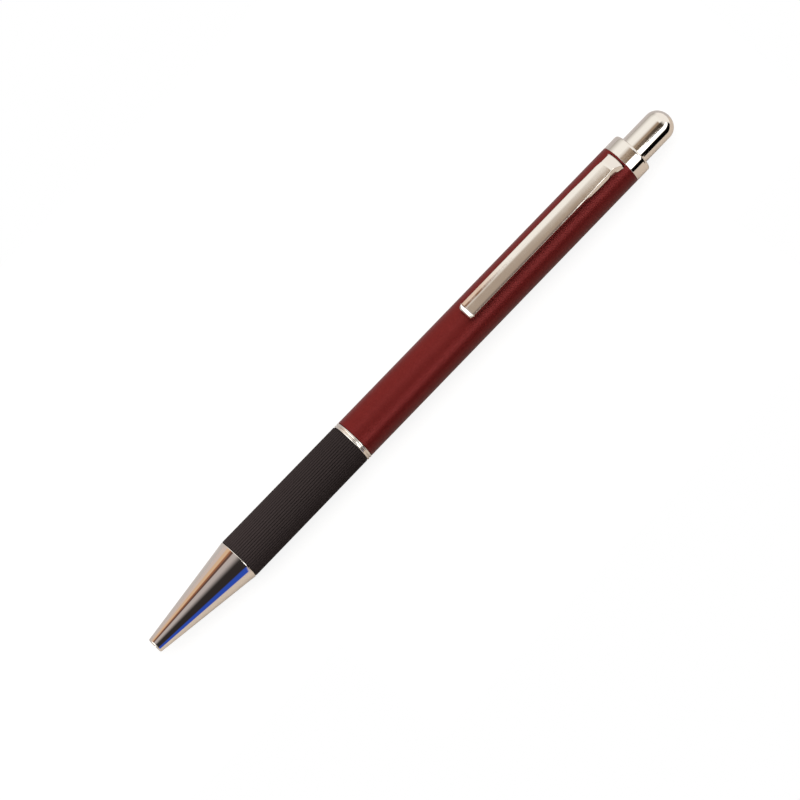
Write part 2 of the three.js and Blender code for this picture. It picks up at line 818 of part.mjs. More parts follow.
const pieces = [
  ['nose_cone', noseCone(), chrome],
  ['return_spring', returnSpring(), springSteel],
  ['grip_core', gripCore(), brass],
  ['grip_sleeve', gripSleeve(), ribbedRubber],
  ['trim_ring', trimRing(), chrome],
  ['barrel_bushing', barrelBushing(), brass],
  ['barrel', barrel(), burgundy],
  ['clip', clip(), chrome],
  ['top_collar', topCollar(), chrome],
  ['cam_sleeve', camSleeve(), whitePlastic],
  ['plunger_cap', plungerCap(), chrome],
  ['thrust_tube', thrustTube(), blackPlastic],
  ['rotor', rotor(), whitePlastic],
  ['refill_tube', refillTube(), nickel],
  ['refill_plug', refillPlug(), blackPlastic],
  ['refill_adapter', refillAdapter(), blackPlastic],
  ['refill_point', refillPoint(), nickel],
  ['refill_ball', refillBall(), carbide],
];

// The pen rests on a flat side of its widest turned piece, the base of the nose cone.
const pen = new THREE.Group();
pen.position.set(-penLength / 2, 0, coneBaseRadius * Math.cos(Math.PI / facets));
for (const [name, solid, material] of pieces) {
  const mesh = new THREE.Mesh(toGeometry(solid), material);
  mesh.name = name;
  pen.add(mesh);
}

export default pen;
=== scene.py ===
import math

import bmesh
import bpy
from mathutils import Matrix, Vector


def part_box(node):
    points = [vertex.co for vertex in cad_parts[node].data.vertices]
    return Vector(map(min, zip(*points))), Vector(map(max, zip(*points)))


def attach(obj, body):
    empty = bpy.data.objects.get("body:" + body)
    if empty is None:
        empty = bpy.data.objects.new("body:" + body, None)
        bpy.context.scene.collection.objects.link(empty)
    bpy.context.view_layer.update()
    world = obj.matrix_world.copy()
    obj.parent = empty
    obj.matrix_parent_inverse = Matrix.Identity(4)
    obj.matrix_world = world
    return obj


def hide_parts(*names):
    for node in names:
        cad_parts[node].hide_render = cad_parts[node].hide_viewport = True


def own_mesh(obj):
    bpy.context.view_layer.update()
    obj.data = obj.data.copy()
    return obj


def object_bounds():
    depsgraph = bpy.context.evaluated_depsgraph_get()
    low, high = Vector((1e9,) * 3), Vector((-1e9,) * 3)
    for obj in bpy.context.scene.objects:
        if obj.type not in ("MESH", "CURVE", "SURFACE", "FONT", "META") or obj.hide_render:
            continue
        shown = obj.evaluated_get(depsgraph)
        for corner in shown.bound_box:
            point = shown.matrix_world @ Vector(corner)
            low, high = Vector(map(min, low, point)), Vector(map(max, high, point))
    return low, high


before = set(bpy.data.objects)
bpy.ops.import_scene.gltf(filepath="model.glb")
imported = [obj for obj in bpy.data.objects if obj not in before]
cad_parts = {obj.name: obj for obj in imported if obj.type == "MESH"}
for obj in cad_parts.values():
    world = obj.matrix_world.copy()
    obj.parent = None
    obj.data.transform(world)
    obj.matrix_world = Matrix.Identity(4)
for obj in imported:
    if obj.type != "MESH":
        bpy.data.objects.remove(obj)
cad_low, cad_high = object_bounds()

MM = 0.001
FULL_TURN = 2 * math.pi
QUARTER = math.pi / 2

cone_low, cone_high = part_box("nose_cone")
tip_x = cone_low.x
axis_z = (cone_low.z + cone_high.z) / 2


def place(station, side, height):
    """A point in the frame, from millimetres along the pen, to its left (+Y) and above its axis."""
    return Vector((tip_x + station * MM, side * MM, axis_z + height * MM))


def span(node):
    """First and last station of a node and its largest radius, in millimetres."""
    low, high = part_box(node)
    return (low.x - tip_x) / MM, (high.x - tip_x) / MM, (high.y - low.y) / 2 / MM


def steps(first, last, count):
    """count + 1 even steps from one value to another."""
    return [first + (last - first) * i / count for i in range(count + 1)]


def arc(station, radius, size, first, last, count=8):
    """Points on an arc, with angles in degrees from the plunger's direction outwards."""
    angles = [math.radians(angle) for angle in steps(first, last, count)]
    return [(station + size * math.cos(a), radius + size * math.sin(a)) for a in angles]


def chamfered(first, last, radius, size):
    """A straight stretch of an outline whose two corners are cut off."""
    return [(first, radius - size), (first + size, radius), (last - size, radius), (last, radius - size)]


# Mesh building

CREASE = 32  # degrees; faces that meet at a sharper bend keep a crisp edge
TOOTH_CREASE = 25
MERGE = 1e-7  # metres; points closer than this are one
COLLAPSED = 1e-8  # metres; an edge shorter than this is none
BRACE = 0.025  # how far the bracing points are from the ends of a straight stretch
LONG = 12 * BRACE  # the shortest stretch that is braced
SIDES, SHOWN_SIDES, SMALL_SIDES, TINY_SIDES = 96, 128, 64, 48  # of turned pieces


def shade(data, crease):
    """Shades a mesh smooth wherever its faces meet at less than the given bend."""
    data.shade_smooth()
    data.set_sharp_from_angle(angle=math.radians(crease))


def make_piece(name, mesh, body, slot, node, crease=CREASE):
    """Turns a mesh into a smooth-shaded piece that rides on a body and stands for its CAD node."""
    data = bpy.data.meshes.new(name)
    bmesh.ops.remove_doubles(mesh, verts=mesh.verts, dist=MERGE)
    bmesh.ops.recalc_face_normals(mesh, faces=mesh.faces)
    mesh.to_mesh(data)
    mesh.free()
    shade(data, crease)
    data.materials.append(FINISHES[slot])
    piece = bpy.data.objects.new(name, data)
    bpy.context.scene.collection.objects.link(piece)
    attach(piece, body)
    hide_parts(node)
    return piece


def add_grid(mesh, rows, close_rows=False, close_columns=False):
    """Adds quads between rows of points. Rows and columns may each close on themselves."""
    verts = [[mesh.verts.new(point) for point in row] for row in rows]
    height, width = len(rows), len(rows[0])
    for i in range(height if close_rows else height - 1):
        for k in range(width if close_columns else width - 1):
            a, b = verts[i][k], verts[i][(k + 1) % width]
            d, c = verts[(i + 1) % height][k], verts[(i + 1) % height][(k + 1) % width]
            mesh.faces.new((a, b, c, d))
    return verts


def add_tube(mesh, rings):
    """Joins rings of points into a tube and closes its two ends."""
    verts = add_grid(mesh, rings, close_columns=True)
    mesh.faces.new(verts[0])
    mesh.faces.new(verts[-1][::-1])


def braced(outline):
    """The outline with a point close to each end of its long straight stretches, so that smooth shading
    stays flat along them."""
    points = []
    for i, (station, radius) in enumerate(outline):
        next_station, next_radius = outline[(i + 1) % len(outline)]
        along, out = next_station - station, next_radius - radius
        length = math.hypot(along, out)
        points.append((station, radius))
        if length > LONG:
            for share in (BRACE / length, 1 - BRACE / length):
                points.append((station + share * along, radius + share * out))
    return points


def turned(outline_at, sides=SIDES):
    """A closed outline of stations and radii turned round the axis. It may change with the angle."""
    mesh = bmesh.new()
    rows = []
    for i in range(sides):
        angle = FULL_TURN * i / sides
        outline = outline_at(angle) if callable(outline_at) else braced(outline_at)
        rows.append([place(s, r * math.sin(angle), r * math.cos(angle)) for s, r in outline])
    add_grid(mesh, rows, close_rows=True, close_columns=True)
    return mesh


def drop_collapsed(mesh):
    """Removes the faces that shrink to a line where an outline meets the axis."""
    bmesh.ops.remove_doubles(mesh, verts=mesh.verts, dist=MERGE)
    bmesh.ops.dissolve_degenerate(mesh, edges=mesh.edges, dist=COLLAPSED)
    return mesh


def apply_modifiers(piece):
    """Makes a piece's modifiers part of its mesh."""
    graph = bpy.context.evaluated_depsgraph_get()
    data = bpy.data.meshes.new_from_object(piece.evaluated_get(graph))
    piece.modifiers.clear()
    old = piece.data
    piece.data = data
    bpy.data.meshes.remove(old)


def cut(piece, stations, half_width, heights):
    """Cuts a box-shaped slot into the middle of a piece."""
    mesh = bmesh.new()
    bmesh.ops.create_cube(mesh, size=1)
    near, far = [place(*corner) for corner in zip(stations, (-half_width, half_width), heights)]
    mesh.transform(Matrix.Translation((near + far) / 2) @ Matrix.Diagonal((*(far - near), 1)))
    data = bpy.data.meshes.new("cutter")
    mesh.to_mesh(data)
    mesh.free()
    cutter = bpy.data.objects.new("cutter", data)
    bpy.context.scene.collection.objects.link(cutter)
    modifier = piece.modifiers.new("slot", "BOOLEAN")
    modifier.object = cutter
    modifier.operation = "DIFFERENCE"
    modifier.solver = "EXACT"
    apply_modifiers(piece)
    bpy.data.objects.remove(cutter)
    shade(piece.data, CREASE)


# Materials


def linear(code):
    """An sRGB hex colour as linear red, green, blue and alpha."""
    parts = [int(code[i : i + 2], 16) / 255 for i in (1, 3, 5)]
    return (*[p / 12.92 if p <= 0.04045 else ((p + 0.055) / 1.055) ** 2.4 for p in parts], 1)


def shining(code, strength):
    """The light of a colour at a strength."""
    return (*[strength * part for part in linear(code)[:3]], 1)


def add(tree, kind, inputs=None, **settings):
    """Adds a node. Its inputs are given by name or number, as a value or as the socket to link."""
    made = tree.nodes.new(kind)
    for key, value in settings.items():
        setattr(made, key, value)
    for key, value in (inputs or {}).items():
        if isinstance(value, bpy.types.NodeSocket):
            tree.links.new(value, made.inputs[key])
        else:
            made.inputs[key].default_value = value
    return made


def start_material(name):
    """A new material, its node tree and a socket with the place of each point of the surface."""
    material = bpy.data.materials.new(name)
    material.use_nodes = True
    tree = material.node_tree
    tree.nodes.clear()
    return material, tree, add(tree, "ShaderNodeNewGeometry").outputs["Position"]


def finished(material, shader):
    """The material, with the shader as its surface."""
    add(material.node_tree, "ShaderNodeOutputMaterial", {"Surface": shader.outputs[0]})
    return material


def per_mm(size):
    """Texture scale, in repeats a metre, of a pattern with the given size in millimetres."""
    return 1 / (size * MM)


# Sizes of the patterns in millimetres
POLISH_LINE = 0.09  # spacing of polishing lines; the real ones are finer and wouldn't show
POLISH_HAZE = 1.4  # faint patches that handling leaves on bright plating
FLAKE = 0.11  # flakes in the lacquer, drawn about four times their real size, so that they show
FLAKE_CLOUD = 1.1  # patches where the flakes lie denser
RUBBER_GRAIN = 0.06
MOULD_GRAIN = 0.12
TURNING_LINE = 0.12
WIRE_LINE = 0.05

POLISH_RUN = 60  # repeats a metre along a polishing line, so it stays the same for about 17 mm
LINE_STRETCH = 40  # a working line is this many times as long as it is wide


def chrome_plate():
    """Bright chrome plated on polished brass. It mirrors the room, warmed a little, with a trace of
    polishing lines that run round each turned piece and soften its reflections unevenly."""
    material, tree, point = start_material("chrome_plate")
    around = add(
        tree,
        "ShaderNodeMapping",
        {"Vector": point, "Scale": (per_mm(POLISH_LINE), POLISH_RUN, POLISH_RUN)},
    )
    lines = add(tree, "ShaderNodeTexNoise", {"Vector": around.outputs[0], "Scale": 1, "Detail": 2})
    haze = add(tree, "ShaderNodeTexNoise", {"Vector": point, "Scale": per_mm(POLISH_HAZE), "Detail": 3})
    roughness = add(
        tree,
        "ShaderNodeMapRange",
        {0: haze.outputs["Fac"], "From Min": 0.35, "From Max": 0.7, "To Min": 0.02, "To Max": 0.05},
    )
    relief = add(
        tree, "ShaderNodeBump", {"Height": lines.outputs["Fac"], "Strength": 0.02, "Distance": 0.01 * MM}
    )
    shader = add(
        tree,
        "ShaderNodeBsdfPrincipled",
        {
            "Base Color": linear("#DDD8D0"),
            "Metallic": 1.0,
            "Roughness": roughness.outputs[0],
            "Normal": relief.outputs[0],
        },
    )
    return finished(material, shader)


def burgundy_lacquer():
    """Satin metallic lacquer sprayed on aluminium tube. Fine flakes lie under a soft sheen, so the deep
    red is speckled close up and has one broad, dull highlight."""
    material, tree, point = start_material("burgundy_lacquer")
    flakes = add(tree, "ShaderNodeTexVoronoi", {"Vector": point, "Scale": per_mm(FLAKE)})
    cloud = add(tree, "ShaderNodeTexNoise", {"Vector": point, "Scale": per_mm(FLAKE_CLOUD), "Detail": 4})
    glint = add(tree, "ShaderNodeSeparateColor", {0: flakes.outputs["Color"]})
    deep = add(
        tree,
        "ShaderNodeMix",
        {"Factor": cloud.outputs["Fac"], "A": linear("#691D1B"), "B": linear("#752322")},
        data_type="RGBA",
    )
    lift = add(
        tree,
        "ShaderNodeMapRange",
        {0: glint.outputs[0], "From Min": 0.5, "From Max": 1, "To Min": 0, "To Max": 0.25},
    )
    speckled = add(
        tree,
        "ShaderNodeMix",
        {"Factor": lift.outputs[0], "A": deep.outputs["Result"], "B": linear("#8C362F")},
        data_type="RGBA",
    )
    roughness = add(tree, "ShaderNodeMapRange", {0: glint.outputs[1], "To Min": 0.29, "To Max": 0.36})
    relief = add(
        tree, "ShaderNodeBump", {"Height": cloud.outputs["Fac"], "Strength": 0.06, "Distance": 0.03 * MM}
    )
    shader = add(
        tree,
        "ShaderNodeBsdfPrincipled",
        {
            "Base Color": speckled.outputs["Result"],
            "Metallic": 0.2,
            "Roughness": roughness.outputs[0],
            "IOR": 1.48,
            "Specular IOR Level": 0.2,
            "Specular Tint": linear("#CBB8BC"),
            "Normal": relief.outputs[0],
        },
    )
    return finished(material, shader)


def ribbed_rubber(crest, depth):
    """Moulded soft rubber, dark brown-black. Its ribs are painted dark in the grooves and paler on the
    crests, as painted shade and painted highlight, and its fine grain keeps every highlight dull."""
    material, tree, point = start_material("ribbed_rubber")
    off_axis = add(tree, "ShaderNodeVectorMath", {0: point, 1: (0, 0, axis_z)}, operation="SUBTRACT")
    across = add(
        tree, "ShaderNodeVectorMath", {0: off_axis.outputs[0], 1: (0, 1, 1)}, operation="MULTIPLY"
    )
    radius = add(tree, "ShaderNodeVectorMath", {0: across.outputs[0]}, operation="LENGTH")
    # painted shade and highlight: 0 deep in a groove, 1 on a rib's crest
    groove_shade = add(
        tree,
        "ShaderNodeMapRange",
        {0: radius.outputs["Value"], "From Min": (crest - depth) * MM, "From Max": crest * MM},
    )
    grain = add(tree, "ShaderNodeTexNoise", {"Vector": point, "Scale": per_mm(RUBBER_GRAIN), "Detail": 3})
    # the grooves are painted dark as shade, and the crests paler as a highlight
    colour = add(
        tree,
        "ShaderNodeMix",
        {"Factor": groove_shade.outputs[0], "A": linear("#161212"), "B": linear("#463D3D")},
        data_type="RGBA",
    )
    mottled = add(
        tree,
        "ShaderNodeMix",
        {"Factor": grain.outputs["Fac"], "A": colour.outputs["Result"], "B": linear("#332C2C")},
        data_type="RGBA",
    )
    relief = add(
        tree, "ShaderNodeBump", {"Height": grain.outputs["Fac"], "Strength": 0.3, "Distance": 0.02 * MM}
    )
    shader = add(
        tree,
        "ShaderNodeBsdfPrincipled",
        {
            "Base Color": mottled.outputs["Result"],
            "Roughness": 0.66,
            "IOR": 1.5,
            "Specular IOR Level": 0.06,
            "Normal": relief.outputs[0],
        },
    )
    return finished(material, shader)


def streaked(tree, pattern, dark, light, strength):
    """A colour that goes from dark to light with a pattern, and the pattern's own shallow relief."""
    colour = add(
        tree,
        "ShaderNodeMix",
        {"Factor": pattern.outputs["Fac"], "A": linear(dark), "B": linear(light)},
        data_type="RGBA",
    )
    relief = add(
        tree,
        "ShaderNodeBump",
        {"Height": pattern.outputs["Fac"], "Strength": strength, "Distance": 0.02 * MM},
    )
    return {"Base Color": colour.outputs["Result"], "Normal": relief.outputs[0]}


def worked_metal(name, light, dark, roughness, line, along):
    """A bare metal with the lines of its making: turned metal has them round the axis, and drawn tube
    or wire along it. They streak its colour faintly and stretch its highlights."""
    material, tree, point = start_material(name)
    fine, long = per_mm(line), per_mm(line) / LINE_STRETCH
    scale = (long, fine, fine) if along else (fine, long, long)
    stretched = add(tree, "ShaderNodeMapping", {"Vector": point, "Scale": scale})
    lines = add(tree, "ShaderNodeTexNoise", {"Vector": stretched.outputs[0], "Scale": 1, "Detail": 3})
    look = streaked(tree, lines, dark, light, 0.12)
    look.update({"Metallic": 1.0, "Roughness": roughness})
    return finished(material, add(tree, "ShaderNodeBsdfPrincipled", look))


def moulded_plastic(name, light, dark, roughness, ior, glow):
    """A moulded plastic with a fine, even grain from its steel mould. glow is the light that spreads
    inside it, which acetal has and black plastic hasn't."""
    material, tree, point = start_material(name)
    grain = add(tree, "ShaderNodeTexNoise", {"Vector": point, "Scale": per_mm(MOULD_GRAIN), "Detail": 4})
    look = streaked(tree, grain, dark, light, 0.15)
    look.update(
        {
            "Roughness": roughness,
            "IOR": ior,
            "Subsurface Weight": glow,
            "Subsurface Radius": (0.6 * MM, 0.5 * MM, 0.4 * MM),
            "Subsurface Scale": 1.0,
        }
    )
    return finished(material, add(tree, "ShaderNodeBsdfPrincipled", look))


RIB_DEPTH = 0.13  # of the grip sleeve's lengthwise ribs
RIB_COUNT = 54
FINISHES = {
    "chrome_plate": chrome_plate(),
    "burgundy_lacquer": burgundy_lacquer(),
    "ribbed_rubber": ribbed_rubber(span("grip_sleeve")[2], RIB_DEPTH),
    "brass": worked_metal("brass", "#C6A468", "#A98650", 0.3, TURNING_LINE, along=False),
    "spring_steel": worked_metal("spring_steel", "#C2C4C6", "#9FA1A4", 0.27, WIRE_LINE, along=False),
    "nickel": worked_metal("nickel", "#CBC8C1", "#AFACA5", 0.22, TURNING_LINE, along=True),
    "carbide": worked_metal("carbide", "#93959A", "#7E8085", 0.2, WIRE_LINE, along=False),
    "white_acetal": moulded_plastic("white_acetal", "#EAE6DC", "#DEDACF", 0.38, 1.48, 0.15),
    "black_plastic": moulded_plastic("black_plastic", "#2F2E30", "#242325", 0.45, 1.5, 0),
}

# The outer pieces and what holds them together

WALL_GAP = 0.05  # round a piece pushed or screwed into another
SEAM = 0.03  # between pieces that meet face to face
SPIGOT_RADIUS = 2.95
THREAD_PITCH = 0.5
THREAD_DEPTH = 0.22
NUT_DEPTH = 0.1  # of the thread inside a socket
THREAD_STEPS = 10  # points to a pitch
THREAD_FLANK = 1.3  # growth of the cut over half a pitch; it stops at 1, which leaves the root flat
THREAD_CREST = 0.15  # taken off that growth, which leaves the crest flat


def thread(first, last, crest, depth, angle, inside=False):
    """Points of a screw thread's outline at one angle. It runs out to nothing at both ends."""
    points = []
    count = round((last - first) / THREAD_PITCH * THREAD_STEPS)
    for station in steps(first, last, count):
        turn = (station - first) / THREAD_PITCH - angle / FULL_TURN
        wave = 2 * abs(turn - math.floor(turn) - 0.5)
        fade = min(1, (station - first) / THREAD_PITCH, (last - station) / THREAD_PITCH)
        cut_in = depth * min(1, max(0, THREAD_FLANK * wave - THREAD_CREST)) * max(0, fade)
        points.append((station, crest + cut_in if inside else crest - cut_in))
    return points


def nose_cone():
    """The chromed cone, with its rolled mouth, spring chamber and threaded socket."""
    first, last, base = span("nose_cone")
    tip, bore, chamber, socket = 1.585, 1.25, 2.05, SPIGOT_RADIUS + WALL_GAP
    seat, socket_floor = 8, last - 5
    mouth, rim, chamfer = 0.3, 0.18, 0.25
    slope = (base - tip) / (last - first)
    lean = math.degrees(math.atan(slope))

    def outline(angle):
        return [
            (first + 0.12, bore),
            (first + 0.02, bore + 0.1),
            *arc(mouth, tip + slope * mouth - mouth, mouth, 160, 90 + lean, 10),
            *[(s, tip + slope * s) for s in steps(1.5, last - 1.2, 8)],
            *arc(last - rim, base - rim, rim, 90 + lean, 0, 8),
            (last, socket + chamfer),
            (last - chamfer, socket),
            *thread(socket_floor + 0.9, last - 0.4, socket, NUT_DEPTH, angle, inside=True)[::-1],
            (socket_floor, socket),
            (socket_floor, chamber),
            (seat, chamber),
            (seat, bore),
        ]

    mesh = turned(outline, SHOWN_SIDES)
    return make_piece("nose_cone_shell", mesh, "body", "chrome_plate", "nose_cone")


def grip_core():
    """Brass tube under the grip, with a threaded spigot and a relief groove at each end."""
    first, last, seat = span("grip_core")
    bore, relief = 2.15, SPIGOT_RADIUS - 0.25
    shoulder = span("nose_cone")[1] + SEAM
    back = span("barrel")[0]
    chamfer, groove, edge, inner_edge = 0.3, 0.8, 0.1, 0.12
    margin = 0.4  # from a spigot's end to its thread

    def outline(angle):
        return [
            (first, bore + inner_edge),
            (first, SPIGOT_RADIUS - chamfer),
            (first + chamfer, SPIGOT_RADIUS),
            *thread(first + margin, shoulder - groove - edge, SPIGOT_RADIUS, THREAD_DEPTH, angle),
            (shoulder - groove, SPIGOT_RADIUS),
            (shoulder - groove, relief),
            (shoulder, relief),
            *chamfered(shoulder, back, seat, edge),
            (back, relief),
            (back + groove, relief),
            (back + groove, SPIGOT_RADIUS),
            *thread(back + groove + edge, last - margin, SPIGOT_RADIUS, THREAD_DEPTH, angle),
            (last - chamfer, SPIGOT_RADIUS),
            (last, SPIGOT_RADIUS - chamfer),
            (last, bore + inner_edge),
            (last - inner_edge, bore),
            (first + inner_edge, bore),
        ]

    return make_piece("core_tube", turned(outline), "body", "brass", "grip_core")


def grip_sleeve():
    """The ribbed sleeve. Each rib has a rounded crest and a narrow groove beside it, and both run out
    in a small bevel at the ends."""
    first, last, front = span("grip_sleeve")
    rear, bevel = 4.37, 0.12
    lip_in, lip_out, lip_length = 0.02, 0.03, 0.06  # the two small steps of the bevel
    bore = span("grip_core")[2] + WALL_GAP
    crest_share, roundness, points_a_rib = 0.45, 1.6, 8

    def outline(angle):
        phase = angle * RIB_COUNT / FULL_TURN
        across = 2 * abs(phase - math.floor(phase) - 0.5)
        depth = RIB_DEPTH * max(0, (across - crest_share) / (1 - crest_share)) ** roundness
        taper = (rear - front) / (last - first)
        return [
            (first, bore),
            (first, front - bevel - lip_in),
            (first + lip_length, front - bevel + lip_out),
            (first + bevel, front - depth),
            *[(s, front + taper * (s - first) - depth) for s in steps(first + 3, last - 3, 4)],
            (last - bevel, rear - depth),
            (last - lip_length, rear - bevel + lip_out),
            (last, rear - bevel - lip_in),
            (last, bore),
        ]

    mesh = turned(outline, RIB_COUNT * points_a_rib)
    return make_piece("ribbed_sleeve", mesh, "body", "ribbed_rubber", "grip_sleeve", crease=60)


def trim_ring():
    """Chromed ring with two rounded beads and a groove between them."""
    first, last, outer = span("trim_ring")
    bore = span("grip_core")[2] + WALL_GAP
    bead = (last - first) / 4
    groove_depth = 0.16
    dip = math.degrees(math.acos(1 - groove_depth / bead))
    outline = [
        (first, bore),
        *arc(first + bead, outer - bead, bead, 180, 90 - dip, 12),
        *arc(last - bead, outer - bead, bead, 90 + dip, 0, 12),
        (last, bore),
    ]
    mesh = turned(outline, SHOWN_SIDES)
    return make_piece("beaded_ring", mesh, "body", "chrome_plate", "trim_ring")


def barrel():
    """The lacquered tube. Its ends are rolled in a little, and the clip's root goes through a slot."""
    first, last, outer = span("barrel")
    bore, edge = 3.95, 0.08
    outline = [
        (first, bore),
        *arc(first + edge, outer - edge, edge, 180, 90, 4),
        *[(s, outer) for s in steps(first + 2, last - 2, 12)],
        *arc(last - edge, outer - edge, edge, 90, 0, 4),
        (last, bore),
    ]
    mesh = turned(outline, SHOWN_SIDES)
    piece = make_piece("lacquered_barrel", mesh, "body", "burgundy_lacquer", "barrel")
    root = span("clip")
    stations = (root[1] - CLIP_SHEET - CLIP_ROOM, root[1] + CLIP_ROOM)
    through = (2.95, 6.5)  # heights well inside and outside the wall
    cut(piece, stations, root[2] + CLIP_ROOM, through)
    return piece


def barrel_bushing():
    """Threaded brass bushing pressed into the barrel's front end."""
    first, last, outer = span("barrel_bushing")
    bore = SPIGOT_RADIUS + WALL_GAP
    chamfer, lead_in, margin = 0.15, 0.2, 0.3

    def outline(angle):
        return [
            (first, bore + lead_in),
            *chamfered(first, last, outer, chamfer),
            (last, bore + lead_in),
            (last - lead_in, bore),
            *thread(first + margin, last - margin, bore, NUT_DEPTH, angle, inside=True)[::-1],
            (first + lead_in, bore),
        ]

    return make_piece("threaded_bushing", turned(outline), "body", "brass", "barrel_bushing")


def top_collar():
    """The chromed collar that closes the barrel and guides the plunger. A notch in its spigot lets the
    clip's foot in."""
    first, last, outer = span("top_collar")
    front = span("barrel")[1] + SEAM
    spigot, bore, round_size = 3.9, 3.15, 0.55
    chamfer, front_edge, mouth_edge, bore_edge = 0.15, 0.08, 0.06, 0.1
    outline = [
        (first, bore + bore_edge),
        (first, spigot - chamfer),
        (first + chamfer, spigot),
        (front, spigot),
        *arc(front + front_edge, outer - front_edge, front_edge, 180, 90, 4),
        *arc(last - round_size, outer - round_size, round_size, 90, 0, 14),
        *arc(last - mouth_edge, bore + mouth_edge, mouth_edge, 0, -90, 3),
        (first + bore_edge, bore),
    ]
    mesh = turned(outline, SHOWN_SIDES)
    piece = make_piece("polished_collar", mesh, "body", "chrome_plate", "top_collar")
    root = span("clip")
    notch = root[1] - CLIP_SHEET - CLIP_FOOT[0] - 2 * CLIP_ROOM
    cut(piece, (notch, front), root[2] + CLIP_ROOM, (0, spigot + WALL_GAP))
    return piece


def plunger_cap():
    """Thin chromed shell with a rounded top."""
    first, last, outer = span("plunger_cap")
    wall, dome = 0.35, 2.85
    rim_in, rim_out = 0.1, 0.08
    foot = last - dome
    bore = outer - wall

    def rounded(radius, height, angles):
        return [(foot + height * math.sin(a), radius * math.cos(a)) for a in angles]

    quarter = steps(0, QUARTER, 20)
    outline = [
        *rounded(bore, dome - wall, quarter[::-1]),
        (first + rim_in, bore),
        (first, bore + rim_in),
        (first, outer - rim_out),
        (first + rim_out, outer),
        *[(s, outer) for s in steps(first + 1, foot - 1, 6)],
        *rounded(outer, dome, quarter),
    ]
    mesh = drop_collapsed(turned(outline, SHOWN_SIDES))
    return make_piece("plunger_shell", mesh, "plunger", "chrome_plate", "plunger_cap")


# The clip, pressed from sheet

CLIP_SHEET = 0.4
CLIP_ROOM = 0.12  # round the clip's root in the slot
CLIP_FOOT = (1.1, 0.8)  # length and half width of the foot under the barrel's wall
CLIP_FOOT_BEND = 0.5  # radius of the bend into the foot
CLIP_HALF_WIDTH = 1.625
CLIP_EDGE = 0.2  # rounding between the top and each flange
CLIP_END = 1.0  # rounding of the top into the lip
CLIP_CROWN = 8.5  # radius across the top, which is slightly crowned
CLIP_FLANGE = 1.3  # depth of a flange below its rounding
CLIP_CORNER = 0.6  # rounding of the lip's corners, seen from above
CLIP_LIP = 4.4  # height of the lip's foot
CLIP_OPENING = 5  # length over which the flanges open outwards
CLIP_OPENED = 3.4  # length that stays open before they end
CLIP_OPEN_BEND = math.radians(72)  # bend of the opened flanges
CLIP_OPEN_LOSS = 0.35  # depth that they have lost there
CLIP_RUN_OUT = 1.3  # length over which they end
CLIP_NARROWED = (0.15, 0.11)  # what the flat part loses on each side as they open, and as they end
CLIP_BEND = 2.7  # length of the neck, which slopes down to the slot
CLIP_SLOPE = math.radians(36)
CLIP_NECK = 1.32  # half width of the neck past the flanges
CLIP_NECK_ROUNDS = (1.8, 0.9)  # radii of the neck's upper and lower bend
CLIP_EDGE_RUN_OUT = 1.2  # length of neck over which its bent edge flattens
CLIP_FLAT = (CLIP_HALF_WIDTH - CLIP_EDGE) / (1 - CLIP_EDGE / CLIP_CROWN)
FLAT_STEPS, EDGE_STEPS, FLANGE_STEPS, CORNER_STEPS = 8, 6, 3, 6


def eased(share):
    """A share from 0 to 1 that starts and ends gently."""
    share = min(1, max(0, share))
    return share * share * (3 - 2 * share)


def clip_section(flat, bend, flange):
    """Half a section across the sheet's outer face, as offsets sideways and down."""
    points = [(side, side * side / (2 * CLIP_CROWN)) for side in steps(0, flat, FLAT_STEPS)]
    lean = flat / CLIP_CROWN
    side, down = points[-1]
    turn = max(bend, lean)
    for angle in steps(lean, turn, EDGE_STEPS)[1:]:
        out = side + CLIP_EDGE * (math.sin(angle) - math.sin(lean))
        points.append((out, down + CLIP_EDGE * (math.cos(lean) - math.cos(angle))))
    side, down = points[-1]
    for length in steps(0, flange, FLANGE_STEPS)[1:]:
        points.append((side + length * math.cos(turn), down + length * math.sin(turn)))
    return points


def neck_path(start, top, root_half):
    """The neck's outer face from its start down into the slot: station, height, the way it faces and
    half width."""
    upper, lower = CLIP_NECK_ROUNDS
    slope = CLIP_BEND - upper * math.sin(CLIP_SLOPE) - lower * (1 - math.sin(CLIP_SLOPE))
    fall = slope * math.tan(CLIP_SLOPE)
    path = []
    station, height = start, top
    for radius, from_turn, to_turn in ((upper, 0, CLIP_SLOPE), (lower, CLIP_SLOPE, QUARTER)):
        for turn in steps(from_turn, to_turn, 8):
            along = radius * (math.sin(turn) - math.sin(from_turn))
            down = radius * (math.cos(from_turn) - math.cos(turn))
            path.append((station + along, height - down, turn))
        station, height = path[-1][0] + slope, path[-1][1] - fall
    flare = root_half - CLIP_NECK
    return [(s, h, turn, CLIP_NECK + flare * ((s - start) / CLIP_BEND) ** 3) for s, h, turn in path]


